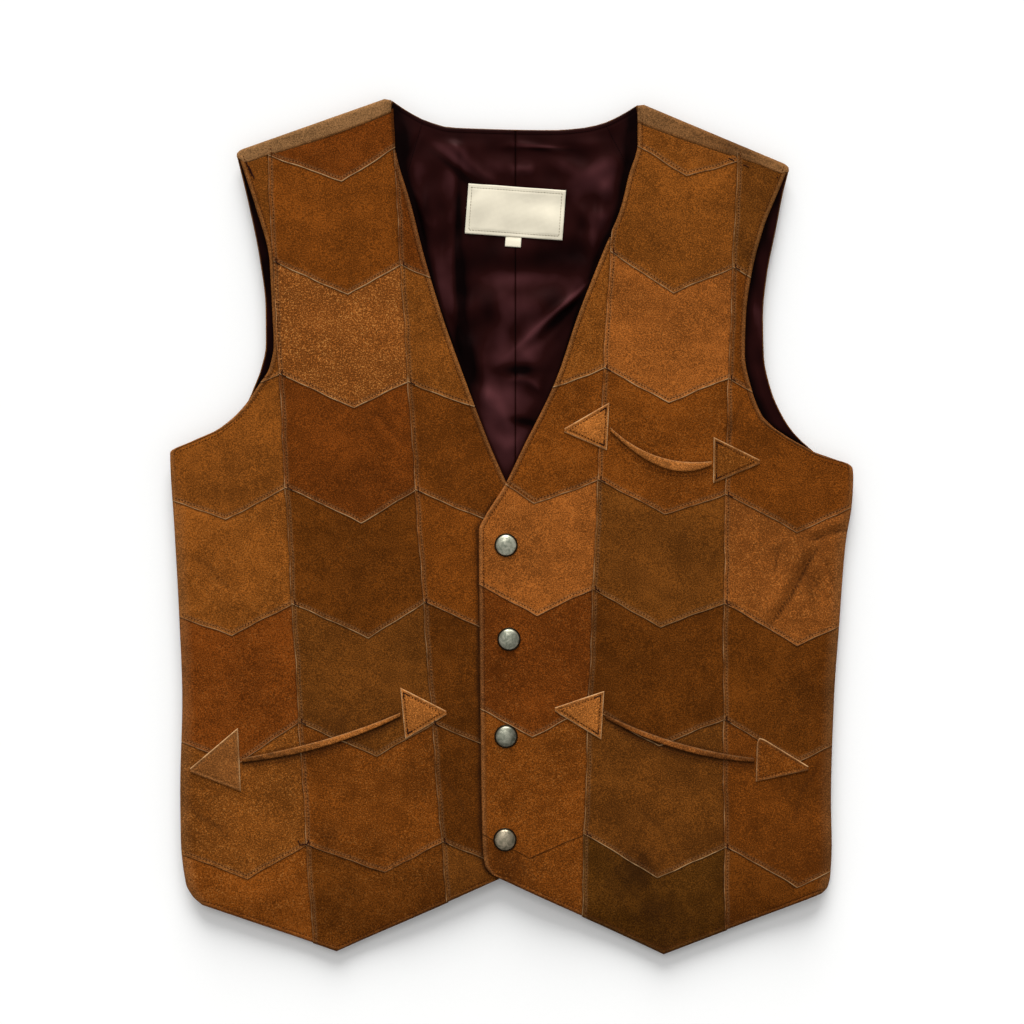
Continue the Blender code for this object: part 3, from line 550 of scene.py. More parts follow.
def layCloth(piece, node, slot, top, margin, restsOn):
    # Works out the cut, the shown shape with a seam margin all round, but keeps it nowhere
    x, y = top[..., 0], top[..., 1]
    area = planArea(top)
    length = max(float(np.ptp(x)), float(np.ptp(y)))
    width = max(10.5, min(float(np.ptp(x)), float(np.ptp(y)), 2.0 * area / length))
    length, width = length + margin, width + margin
    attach(piece, "root")
    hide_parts(node)
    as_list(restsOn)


# Columns of patches: their side edges, and how their chevrons run to a free edge
rowCount = 7
settleRounds = 30  # enough for a row's heights and its column's edges to agree
columns = {
    "right_side": {
        "low": lambda y: np.minimum(frontEdge["right"](y), seam["right_side"](y) - 2.4),
        "high": seam["right_side"], "seams": (None, "right_side"), "share": 0.5, "reach": 43.0, "rise": 0.38,
        "firstRow": 2, "top": None, "front": "right", "edges": ("outline", "tucked"),
    },
    "right_middle": {
        "low": seam["right_side"],
        "high": lambda y: np.minimum(seam["right_centre"](y), neckEdge["right"](y)),
        "seams": ("right_side", "right_centre"), "share": 0.56, "reach": None, "rise": None,
        "firstRow": 0, "top": None, "front": "right", "edges": ("lapped", "tucked"),
    },
    "right_centre": {
        "low": seam["right_centre"], "high": neckEdge["right"],
        "seams": ("right_centre", None), "share": 0.5, "reach": 45.0, "rise": 0.47,
        "firstRow": 1, "top": 256.0, "front": "right", "edges": ("lapped", "turned"),
    },
    "left_centre": {
        "low": neckEdge["left"], "high": seam["left_centre"],
        "seams": (None, "left_centre"), "share": 0.5, "reach": 39.0, "rise": 0.55,
        "firstRow": 2, "top": 196.0, "front": "left", "edges": ("turned", "tucked"),
    },
    "left_middle": {
        "low": lambda y: np.maximum(seam["left_centre"](y), neckEdge["left"](y)), "high": seam["left_side"],
        "seams": ("left_centre", "left_side"), "share": 0.52, "reach": None, "rise": None,
        "firstRow": 0, "top": None, "front": "left", "edges": ("lapped", "tucked"),
    },
    "left_side": {
        "low": seam["left_side"], "high": frontEdge["left"],
        "seams": ("left_side", None), "share": 0.5, "reach": 51.0, "rise": 0.48,
        "firstRow": 1, "top": None, "front": "left", "edges": ("lapped", "outline"),
    },
}
patchLook = {
    # Each patch from the shoulder down: its lot, how far its own dye strayed from it, how coarse its nap is,
    # and how pale the cut edge along its bottom is
    "patches": {
        "right_side": (
            ("tan", -0.03, 0.15, 0.45), ("tan", 0.09, 0.15, 0.7), ("tan", 0.08, 0.5, 0.55),
            ("rust", 0.12, 0.4, 0.45), ("tan", -0.06, 0.8, 0.2), ("chestnut", 0.18, 0.85, 0.45),
        ),
        "right_middle": (
            ("rust", 0.0, 0.15, 1.0), ("chestnut", 0.13, 0.15, 1.0), ("honey", -0.12, 1.9, 0.9),
            ("rust", 0.0, 0.15, 0.9), ("umber", 0.1, 0.15, 0.8), ("tobacco", 0.04, 0.15, 0.45),
            ("chestnut", 0.0, 0.5, 0.3), ("umber", 0.05, 0.4, 0.45),
        ),
        "right_centre": (
            ("rust", -0.07, 0.15, 0.7), ("tan", 0.04, 0.4, 0.9), ("chestnut", -0.06, 0.15, 0.8),
            ("chestnut", 0.0, 0.15, 0.45), ("umber", 0.0, 0.15, 0.45), ("umber", 0.0, 0.15, 0.45),
            ("tobacco", 0.0, 0.15, 0.45),
        ),
        "left_centre": (
            ("tan", 0.05, 0.6, 1.0), ("chestnut", 0.1, 0.4, 0.7), ("honey", 0.12, 0.4, 0.45),
            ("rust", 0.0, 0.35, 0.9), ("chestnut", 0.04, 0.6, 0.04), ("chestnut", 0.03, 0.6, 0.45),
        ),
        "left_middle": (
            ("tan", 0.11, 0.4, 0.45), ("tan", 0.0, 0.15, 0.8), ("honey", 0.12, 0.4, 1.0),
            ("chestnut", 0.09, 0.4, 0.45), ("tobacco", 0.1, 0.15, 0.45), ("umber", 0.0, 0.15, 0.45),
            ("tobacco", 0.0, 0.15, 0.9), ("bark", 0.08, 0.15, 0.45),
        ),
        "left_side": (
            ("tobacco", 0.0, 0.15, 0.6), ("chestnut", 0.0, 0.15, 0.45), ("chestnut", 0.0, 0.15, 0.45),
            ("honey", -0.1, 0.6, 0.45), ("umber", 0.06, 0.15, 0.45), ("chestnut", -0.17, 0.15, 0.8),
            ("umber", 0.07, 0.15, 0.45),
        ),
    },
    "paleSeam": 0.26,
    "unsewn": ("left_centre_5",),
    # Soiled spots: place, size, depth
    "stains": (
        ((85.5, -236.6), 15.0, 0.62), ((97.4, -264.7), 13.0, 0.5), ((104.0, -290.0), 20.0, 0.4),
        ((150.0, -277.0), 9.0, 0.5), ((-126.0, -212.0), 9.0, 0.35), ((-118.0, -135.0), 10.0, 0.3),
        ((-2.0, -236.0), 14.0, 0.35), ((136.0, 253.0), 10.0, 0.3), ((168.0, 186.0), 10.0, 0.3),
        ((-176.0, 196.0), 8.0, 0.25),
    ),
    "step": 1.7, "tuck": 1.3, "lap": 0.3, "dip": 0.25, "puff": 0.4, "puffOver": 15.0, "turnedRound": 1.1,
    "neckLift": {"height": 2.4, "over": 30, "from": 45, "rising": 70, "to": 225, "falling": 55}, "slant": 0.92,
    "calmOver": 9.0, "margin": 7.0, "hideApart": 0.37,
    "stitchIn": 2.1, "topstitchIn": 3.2, "topstitchTo": -130.0, "hemClear": 3.0,
    "waves": 14, "waveHeight": 0.12,
    # How thick each kind of edge shows, and how far it stands out
    "edgeDrop": {"lapped": 0.85, "tucked": 0.6, "turned": 0.42, "fold": 0.06},
    "edgeFlare": {"lapped": 0.25, "turned": -0.15, "fold": -1.3},
}
# Creases in the fronts: from, to, depth, width
creases = (
    ((229.0, -2.3), (204.0, -8.8), 1.3, 3.0),
    ((211.0, -13.0), (176.0, -70.0), 1.5, 3.6),
    ((184.5, -13.0), (177.5, -33.0), 1.1, 3.2),
    ((197.0, -4.0), (205.0, -60.0), 0.5, 5.0),
    ((205.0, -34.0), (209.0, -42.0), 0.9, 2.4),
    ((212.0, -20.0), (222.0, -44.0), 0.6, 2.4),
    ((157.0, 88.0), (147.0, 56.0), 0.8, 3.0),
    ((164.0, 82.0), (150.0, 62.0), 0.5, 2.6),
    ((-94.5, 78.0), (-75.0, 56.0), 0.6, 3.0),
    ((118.0, 25.0), (140.0, 12.0), 0.4, 3.0),
    ((-221.0, -20.0), (-190.0, -45.0), 0.5, 6.0),
    ((-224.0, -190.0), (-196.0, -214.0), 0.5, 7.0),
    ((208.0, -160.0), (190.0, -205.0), 0.5, 6.0),
    ((-60.0, -150.0), (-32.0, -200.0), 0.4, 7.0),
    ((86.0, -190.0), (118.0, -235.0), 0.4, 8.0),
)
waveRng = np.random.default_rng(17)
waveDirections = waveRng.uniform(0, 2 * math.pi, patchLook["waves"])
waveLengths = waveRng.uniform(38, 130, patchLook["waves"])
waveStarts = waveRng.uniform(0, 2 * math.pi, patchLook["waves"])


def clothWave(x, y):
    total = np.zeros_like(x)
    for turn, span, start in zip(waveDirections, waveLengths, waveStarts):
        total += np.sin(2 * math.pi * (x * math.cos(turn) + y * math.sin(turn)) / span + start)
    return patchLook["waveHeight"] * total


def wander(x, y):
    # Hand-cut edges and hand-fed seams are never quite straight
    across = 0.2 * np.sin(y / 5.3 + 0.9 * np.sin(x / 23)) + 0.12 * np.sin(y / 2.9 + x / 41)
    along = 0.2 * np.sin(x / 4.7 + 0.8 * np.sin(y / 19)) + 0.12 * np.sin(x / 2.6 + y / 31)
    return across + 0.3 * np.sin(y / 14.0 + x / 37), along + 0.3 * np.sin(x / 12.0 + y / 43)


def creased(x, y, lines):
    # Height of the creases, and the painted shade along the line of each
    total, line = np.zeros_like(x), np.zeros_like(x)
    for start, end, depth, width in lines:
        along, across, fade = besideLine(x, y, start, end, 0.15)
        across = across + 0.25 * width * np.sin(7 * along + start[0])
        total += depth * fade * (0.7 * hump(across - 1.7 * width, 1.3 * width) - hump(across, width))
        line = np.maximum(line, 0.6 * depth * fade * hump(across + 0.2 * width, 0.24 * width))
    return total, line


def neckLift(x, y, front):
    # The fronts stand a little off the lining along the neck
    lift = patchLook["neckLift"]
    inside = neckEdge["right"](y) - x if front == "right" else x - neckEdge["left"](y)
    reach = (1 - ramp(inside / lift["over"])) * ramp((y - lift["from"]) / lift["rising"])
    return lift["height"] * (reach * (1 - ramp((y - lift["to"]) / lift["falling"])))


def rowBetween(column, name, index):
    # A chevron hung between two seams: the share of its point, and its three heights
    low, high = (rowHeights[seamName][index] for seamName in column["seams"])
    tip = column["share"]
    return tip, (low, (low + high) / 2 - tipDrops[name][index], high)


def rowFromOne(column, name, index):
    # A chevron from one seam to a free edge, which may cut it off before its point
    seamFirst = column["seams"][1] is None
    atSeam = rowHeights[column["seams"][0] or column["seams"][1]][index]
    drop, reach = tipDrops[name][index], column["reach"]
    far = atSeam
    for _ in range(settleRounds):
        low, high = (atSeam, far) if seamFirst else (far, atSeam)
        width = float(column["high"](high) - column["low"](low))
        past = width - reach
        far = atSeam - drop + column["rise"] * past if past > 0 else atSeam - drop * width / reach
    share = reach / width if past > 0 else column["share"]
    point = atSeam - drop if past > 0 else (far + atSeam) / 2
    if seamFirst:
        return share, (atSeam, point, far)
    return 1 - share, (far, point, atSeam)


def chevronRow(name, index):
    column = columns[name]
    tip, heights = (rowBetween if column["reach"] is None else rowFromOne)(column, name, index)
    return {"tip": tip, "height": lambda share: np.interp(share, [0, tip, 1], heights)}


def lineRow(name, line, start, point=None):
    # A row along a line across the vest, such as the hem
    column = columns[name]
    tip = column["share"]
    if point is not None:
        low, high = column["low"](point[1]), column["high"](point[1])
        if low < point[0] < high:
            tip = float((point[0] - low) / (high - low))

    def height(share):
        y = np.full_like(share, start, dtype=float)
        for _ in range(settleRounds):
            low, high = column["low"](y), column["high"](y)
            y = line(low + share * (high - low))
        return y

    return {"tip": tip, "height": height}


def columnRows(name):
    column = columns[name]
    if column["top"] is None:
        first = lineRow(name, lambda x: shoulderLine(x, "Seam"), rowHeights["left_side"][0])
    else:
        first = lineRow(name, lambda x: np.full_like(x, column["top"]), column["top"])
    hem = hems[column["front"]]
    last = lineRow(name, hemHeight(column["front"]), hem[2][1], hem[1])
    return [first] + [chevronRow(name, index) for index in range(column["firstRow"], rowCount)] + [last]


def edgeKinds(name, end, y):
    # Shares of a column's side edge that lap over, tuck under, turn in or fold round, by height
    column = columns[name]
    kind = column["edges"][end]
    shares = {key: np.zeros_like(y) for key in ("lapped", "tucked", "turned", "fold")}
    if kind == "outline":
        shares["fold"] = foldAmount(y, column["front"])
        shares["turned"] = 1 - shares["fold"]
        return shares
    free = np.zeros_like(y)
    if name == "right_middle" and end == 1:
        free = ramp((seam["right_centre"](y) - neckEdge["right"](y)) / 3)
    if name == "left_middle" and end == 0:
        free = ramp((neckEdge["left"](y) - seam["left_centre"](y)) / 3)
    shares["turned"] = free
    shares[kind] = shares[kind] + 1 - free
    return shares


def weltCurves(welt):
    # Upper and lower edge of a welt, each one arc through its middle
    half = np.array([0, weltLook["end"] / 2])
    t = np.linspace(0, 1, weltLook["steps"])[:, None]
    edges = []
    for middle, shift in ((welt["upper"], half), (welt["lower"], -half)):
        start, end = np.array(welt["start"]) + shift, np.array(welt["finish"]) + shift
        control = 2 * np.array(middle) - (start + end) / 2
        edges.append((1 - t) ** 2 * start + 2 * t * (1 - t) * control + t**2 * end)
    return edges


weltLook = {
    # Per welt: soil is grime along its length away from its clean stretch, edge is painted shade along its own
    # edges, and the last number is painted shadow on the cloth round it
    "welts": {
        "chest_welt": {
            "start": (67.5, 66.0), "upper": (99.5, 47.5), "lower": (104.0, 39.5),
            "finish": (136.8, 42.8), "lot": "amber", "clean": (0.5, 0.8),
            "soil": 0.4, "edge": 0.4, "shadowAround": 0.4},
        "right_welt": {
            "start": (-184.6, -160.5), "upper": (-126.0, -145.8), "lower": (-129.2, -151.3),
            "finish": (-76.2, -129.2), "lot": "amber", "clean": (0.7, 0.34),
            "soil": 0.7, "edge": 0.5, "shadowAround": 1.0},
        "left_welt": {
            "start": (64.0, -130.5), "upper": (114.0, -148.6), "lower": (115.2, -153.4),
            "finish": (165.8, -160.2), "lot": "honey", "clean": (0.42, 0.26),
            "soil": 0.6, "edge": 0.7, "shadowAround": 0.85},
    },
    "end": 2.6, "steps": 90, "rows": 11, "seat": 0.35, "rise": 0.8, "thick": 0.7, "coarse": 0.6, "margin": 4.0,
    "softened": 10, "stitchBelow": 3.2, "unsewnEnds": 6,
}
weltEdges = {name: weltCurves(welt) for name, welt in weltLook["welts"].items()}
stitchLines, topstitchLines, tackLines, tabLines = [], [], [], []


def edgeRelief(kinds, distance, look):
    # Height of the cloth near one edge, and how far it shows cut, rubbed or darkened by painted shade there
    sewn, topsewn = distance - look["stitchIn"], distance - look["topstitchIn"]
    height = kinds["lapped"] * (look["lap"] * (1 - ramp(distance / 6)) - 0.24 * hump(sewn, 0.6))
    height = height - kinds["tucked"] * look["dip"] * (1 - ramp(distance / 3.5))
    turned = 0.3 * hump(distance - 1.6, 1.1) - 0.32 * hump(topsewn, 0.7)
    turned = turned - look["turnedRound"] * roundOver(distance, look["turnedRound"])
    height = height + kinds["turned"] * turned
    cut = kinds["lapped"] * (1 - ramp((distance - 0.12) / 0.5))
    rub = 0.34 * kinds["turned"] * hump(distance - 1.3, 1.5) + 0.45 * kinds["lapped"] * hump(sewn, 0.8)
    rub = rub + 0.35 * kinds["fold"] * (1 - ramp(distance / 10))
    # Painted shade where the edge tucks under the patch lapped over it, and in the groove of the topstitching
    grimeAndShade = 0.6 * kinds["tucked"] * hump(np.maximum(distance, 0), 0.8)
    grimeAndShade = grimeAndShade + 0.3 * kinds["turned"] * hump(topsewn, 0.5)
    return height, cut, rub, grimeAndShade


def stainsAndShadows(x, y, front):
    # Painted shadow round the welts and along the edge of the front that lies on top, and grime in stains
    grimeAndShade = np.zeros_like(x)
    for weltName, (upper, lower) in weltEdges.items():
        shadowAround = weltLook["welts"][weltName]["shadowAround"]
        if x.min() - 5 < lower[:, 0].max() and x.max() + 5 > lower[:, 0].min():
            below = np.interp(x, lower[:, 0], lower[:, 1], left=farOff, right=farOff) - y
            above = y - np.interp(x, upper[:, 0], upper[:, 1], left=farOff, right=farOff)
            shade = shadowAround * (0.8 * hump(below - 0.6, 1.5) + 0.3 * hump(below - 3.5, 3.0))
            grimeAndShade = np.maximum(grimeAndShade, np.where((below > -4) & (below < 12), shade, 0))
            grimeAndShade = np.maximum(grimeAndShade, 0.55 * shadowAround * hump(above - 0.3, 1.2))
    for (spotX, spotY), size, depth in patchLook["stains"]:
        away = np.hypot(x - spotX, y - spotY) * (1 + 0.35 * np.sin(0.5 * x) * np.sin(0.37 * y + 1.0))
        grimeAndShade = np.maximum(grimeAndShade, depth * hump(away, size))
    # Painted shadow on the right front beside the edge of the left front
    if front == "right":
        grimeAndShade = np.maximum(grimeAndShade, np.where(y < 20, 0.85 * hump(x - neckEdge["left"](y) + 0.4, 1.9), 0))
    return grimeAndShade


def buildPatch(name, number, rows, patch, hide):
    look, column, lay = patchLook, columns[name], vestLay
    lot, dye, coarse, pale = patch
    node, front = f"{name}_{number + 1}", column["front"]
    topRow, lowRow = rows[number], rows[number + 1]
    atHem, unsewn = number == len(rows) - 2, node in look["unsewn"]
    middleTip = (topRow["tip"] + lowRow["tip"]) / 2
    ends = np.array([0.0, 1.0])
    spread = np.concatenate([topRow["height"](ends), lowRow["height"](ends)])
    heights = np.linspace(spread.min(), spread.max(), 12)
    widest = float((column["high"](heights) - column["low"](heights)).max())
    across = stopsAlong(widest, look["step"])
    inner = np.argmin(np.abs(across[1:-1] - middleTip)) + 1
    across[inner] = middleTip
    warped = [np.interp(across, [0, middleTip, 1], [0, row["tip"], 1]) for row in (topRow, lowRow)]
    yTop, yLow = topRow["height"](warped[0]), lowRow["height"](warped[1])
    down = stopsAlong(float((yTop - yLow).max()) + look["tuck"], look["step"])[:, None]
    share = warped[0] + down * (warped[1] - warped[0])
    y = yTop + look["tuck"] + down * (yLow - yTop - look["tuck"])
    low, high = column["low"](y), column["high"](y)
    lowKinds, highKinds = edgeKinds(name, 0, y), edgeKinds(name, 1, y)
    left, right = low - look["tuck"] * lowKinds["tucked"], high + look["tuck"] * highKinds["tucked"]
    x = left + share * (right - left)

    none = {kind: np.zeros_like(x) for kind in look["edgeDrop"]}
    topKinds = {**none, "tucked": np.ones_like(x)}
    hemKinds = {**none, "turned" if atHem else "lapped": np.ones_like(x)}
    sides = ((lowKinds, x - low), (highKinds, high - x),
             (topKinds, look["slant"] * (yTop - y)), (hemKinds, look["slant"] * (y - yLow)))
    creaseDepth, creaseShade = creased(x, y, creases)
    z = frontHeight(x, y, front == "left") + clothWave(x, y) + creaseDepth + neckLift(x, y, front)
    puff = look["puff"] * np.ones_like(x)
    # Painted shade along the crease lines starts the grime mark
    cut, rub, grimeAndShade = np.zeros_like(x), np.zeros_like(x), creaseShade
    for kinds, distance in sides:
        relief, edgeCut, edgeRub, edgeGrimeAndShade = edgeRelief(kinds, distance, look)
        if kinds is hemKinds:
            edgeCut = edgeCut * pale
        else:
            edgeCut = edgeCut * look["paleSeam"] * (1 + 0.8 * np.sin(y / 6.1 + x / 17) * np.sin(y / 19))
        if unsewn and kinds is hemKinds:
            relief, edgeRub = 0.4 * relief, 0 * edgeRub
        if atHem and kinds is hemKinds:
            edgeRub, edgeGrimeAndShade = 0.3 * edgeRub, np.maximum(edgeGrimeAndShade, 0.42 * (1 - ramp(distance / 4)))
        z = z + relief
        puff = puff * (kinds["fold"] + (1 - kinds["fold"]) * ramp(distance / look["puffOver"]))
        cut, rub, grimeAndShade = np.maximum(cut, edgeCut), np.maximum(rub, edgeRub), np.maximum(grimeAndShade, edgeGrimeAndShade)
    z = z + puff
    grimeAndShade = np.maximum(grimeAndShade, stainsAndShadows(x, y, front))
    # The side fold, as round as the CAD solid's
    inside = np.where(x < 0, x - frontEdge["right"](y), frontEdge["left"](y) - x)
    sideAt = lay["sideSeam"] + lay["gap"] / 2
    z = z - foldAmount(y, front) * (z - sideAt) * roundOver(inside, lay["sideRoll"])
    calm = np.minimum.reduce([
        np.where(kinds["turned"] + kinds["fold"] > 0.5, ramp(distance / look["calmOver"]), 1.0)
        for kinds, distance in sides])
    shiftX, shiftY = wander(x, y)
    x, y = x + calm * shiftX, y + calm * shiftY
    top = np.stack([x, y, z], -1)
    border = ((lowKinds, np.s_[:, 0]), (hemKinds, np.s_[-1]), (highKinds, np.s_[:, -1]), (topKinds, np.s_[0]))
    drop, flare = (
        roundTheLoop(*[sum(part * kinds[kind][at] for kind, part in look[rim].items())
                       for kinds, at in border])
        for rim in ("edgeDrop", "edgeFlare"))
    marks = {"cut": cut, "rub": rub, "grimeAndShade": grimeAndShade, "hide": hide, "coarse": coarse, "dye": dye}
    piece = closedCloth(f"{node}_suede", top, drop, flare, suede(lot), marks)
    layCloth(piece, node, slotOf(lot), top, look["margin"], [f"lining_{front}"])
    sewPatch(x, y, lowKinds, highKinds, sides, front, atHem, unsewn)
    return piece


def sewPatch(x, y, lowKinds, highKinds, sides, front, atHem, unsewn):
    # Sewing lines run inside the lapped and turned edges, wherever the other front leaves them open
    look = patchLook
    uncovered = x < neckEdge["left"](y) - 1.5 if front == "right" else x > -farOff
    inset = look["topstitchIn"] if atHem else look["stitchIn"]
    inner = (sides[0][1][-1] > 2.0) & (sides[1][1][-1] > 2.0) & uncovered[-1]
    if not unsewn:
        lines = topstitchLines if atHem else stitchLines
        lines.append(np.stack([x[-1], y[-1] + inset / look["slant"]], -1)[inner])
    for kinds, column, sign in ((lowKinds, 0, 1), (highKinds, -1, -1)):
        edge = np.stack([x[:, column], y[:, column]], -1)
        along = np.gradient(edge, axis=0)
        along = along / np.linalg.norm(along, axis=1, keepdims=True)
        inward = sign * np.stack([-along[:, 1], along[:, 0]], -1)
        for kind, offset, lines in (("lapped", look["stitchIn"], stitchLines),
                                    ("turned", look["topstitchIn"], topstitchLines)):
            wanted = (kinds[kind][:, column] > 0.6) & uncovered[:, column]
            if atHem:
                wanted = wanted & (sides[3][1][:, column] > look["hemClear"])
            if kind == "turned" and front == "left" and column == 0:
                wanted = wanted & (y[:, column] > look["topstitchTo"])
            if kind == "turned" and kinds["fold"].any():
                wanted = wanted & (y[:, column] > armpit[front] + 1)
            if wanted.sum() > 3:
                lines.append((edge + offset * inward)[wanted])


def buildFronts():
    pieces = []
    for name, patches in patchLook["patches"].items():
        rows = columnRows(name)
        for number, patch in enumerate(patches):
            hide = patchLook["hideApart"] * (len(pieces) + 1)
            pieces.append(buildPatch(name, number, rows, patch, hide))
    return pieces


fronts = buildFronts()
print("fronts:", len(fronts), "patches,", sum(len(piece.data.polygons) for piece in fronts), "faces")


def surfaceTree(pieces):
    # The shown faces of some pieces, for finding heights on them
    points, faces = [], []
    for piece in pieces:
        start = len(points)
        points += [vertex.co.copy() for vertex in piece.data.vertices]
        shown = [face.vertices for face in piece.data.polygons if len(face.vertices) == 4]
        faces += [[start + i for i in corners] for corners in shown]
    return BVHTree.FromPolygons(points, faces)


def heightOn(tree, x, y, otherwise):
    found = np.array(otherwise, float) * np.ones(np.shape(x))
    flat = found.reshape(-1)
    for i, (across, along) in enumerate(zip(np.ravel(x), np.ravel(y))):
        hit = tree.ray_cast(Vector((across * mm, along * mm, 0.1)), Vector((0, 0, -1)))[0]
        if hit is not None:
            flat[i] = hit.z / mm
    return found


frontTree = surfaceTree(fronts)


backLook = {
    "rows": 96, "armSteps": 22, "neckSteps": 26, "round": 0.7, "lot": "tobacco", "hide": 20.3, "coarse": 0.4,
    # How far in from a side edge its close columns lie
    "close": (0.0, 0.2, 0.45, 0.8, 1.4, 2.2, 3.2, 4.5, 6.0),
    "stripLap": 1.0, "stripTaper": 6.0, "stripTaperOver": 24.0, "stripThick": 0.7, "stripSteps": 9,
    "stripTurns": (-75, 91, 15), "stripBow": {"right": 3.0, "left": 1.6}, "stripCut": (115, 12),
    "worn": {"right": 1.0, "left": 0.75}, "wornLess": {"right": 0.0, "left": 0.35},
    "soiled": {"right": 0.0, "left": 0.42}, "soiledAt": 0.37, "soiledOver": 0.17,
    "crossSeams": (-125.9, -117.5, 148.2, 170.8),
}


def panelTop(low, high, share, neckInset, shoulderInset):
    # Where a column of the back or its lining ends, at the neckline or a shoulder
    y = vestLay["shoulderTop"]
    for _ in range(40):
        x = float(low(y) + share * (high(y) - low(y)))
        if shoulders["right"]["neck"] < x < shoulders["left"]["neck"]:
            y = float(backNeck(x)) - neckInset
        else:
            y = float(shoulderFold(x)) - shoulderInset
    return x, y


def panelGrid(low, high, shares, top, down, hemInset):
    # Points of the back or its lining, from the hem up
    start, end = low(backHemSide), high(backHemSide)
    hem = backHem(start + shares * (end - start)) + hemInset
    y = hem + down[:, None] * (top - hem)
    return low(y) + shares * (high(y) - low(y)), y


def buildBack():
    look, lay = backLook, vestLay
    right, left = backEdge["right"], backEdge["left"]
    width = shoulders["left"]["arm"] - shoulders["right"]["arm"]
    neckShares = [(shoulders[side]["neck"] - shoulders["right"]["arm"]) / width for side in ("right", "left")]
    close = np.array(look["close"]) / (2 * lay["halfWidth"])
    neckStops = 0.5 - 0.5 * np.cos(np.linspace(0, math.pi, look["neckSteps"] + 1))
    neckStops = np.concatenate([[0, 0.0008], neckStops[1:-1], [0.9992, 1]])
    shares = np.concatenate([
        close,
        np.linspace(close[-1], neckShares[0], look["armSteps"] + 1)[1:],
        neckShares[0] + (neckShares[1] - neckShares[0]) * neckStops[1:],
        np.linspace(neckShares[1], 1 - close[-1], look["armSteps"] + 1)[1:],
        1 - close[-2::-1],
    ])
    tops = np.array([panelTop(right, left, share, 0.0, lay["shoulderRoll"]) for share in shares])
    inner = np.linspace(0.004, 0.996, look["rows"])
    down = np.concatenate([[0, 0.0004, 0.001, 0.002], inner, [0.998, 0.999, 0.9996, 1]])
    x, y = panelGrid(right, left, shares, tops[:, 1], down, 0.0)
    inside = np.where(x < 0, x - right(y), left(y) - x)
    amount = np.where(x < 0, *[foldAmount(y, side, lay["backRollLater"]) for side in ("right", "left")])
    z = amount * (lay["sideSeam"] - lay["gap"] / 2) * roundOver(inside, lay["sideRoll"])
    outward = np.sign(x) * amount * np.clip(1 - inside / lay["sideRoll"], 0.0, 1.0)
    upward = np.sqrt(1 - outward**2)
    # The turned armhole, hem and neck edges are rounded from both faces
    atNeck = (x > shoulders["right"]["neck"]) & (x < shoulders["left"]["neck"])
    edgeIn = np.minimum.reduce([np.where(amount < 0.5, inside, farOff), y - backHem(x),
                                np.where(atNeck, backNeck(x) - y, farOff)])
    bevel = look["round"] * roundOver(edgeIn, look["round"])
    outer = np.stack([x, y, z + bevel], -1)
    inner = np.stack([x - lay["suede"] * outward, y, z + lay["suede"] * upward - bevel], -1)
    outerPoints, innerPoints = list(outer.reshape(-1, 3)), list(inner.reshape(-1, 3))
    columnCount = len(shares)
    index = np.arange(len(outerPoints)).reshape(-1, columnCount)
    cells = gridCells(index)
    rub, grimeAndShade = list(0.25 * np.ravel(bevel > 0)), [0.0] * len(outerPoints)
    runLength = len(close) + look["armSteps"]
    for run in (range(runLength), range(columnCount - runLength, columnCount)):
        previous = index[-1, run].tolist()
        for outerRow, innerRow, rubbed, soiled in stripRows(tops[run, 0]):
            current = [len(outerPoints) + i for i in range(len(run))]
            outerPoints += list(outerRow)
            innerPoints += list(innerRow)
            rub += list(rubbed)
            grimeAndShade += list(soiled)
            cells += [list(cell) for cell in zip(previous, current, current[1:], previous[1:])]
            previous = current
    count = len(outerPoints)
    faces = cells + [[i + count for i in reversed(cell)] for cell in cells]
    edges = set()
    for cell in cells:
        edges.update(zip(cell, cell[1:] + cell[:1]))
    faces += [[b, a, a + count, b + count] for a, b in edges if (b, a) not in edges]
    marks = {"rub": 2 * rub, "cut": np.zeros(2 * count), "grimeAndShade": 2 * grimeAndShade,
             "hide": np.full(2 * count, look["hide"]), "coarse": np.full(2 * count, look["coarse"])}
    points = np.concatenate([outerPoints, innerPoints])
    piece = addPiece("back_suede", points, faces, suede(look["lot"]), marks)
    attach(piece, "root")
    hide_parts("back")
    area = planArea(np.stack([x, y], -1)) + 2 * math.prod(look["stripCut"])
    return piece


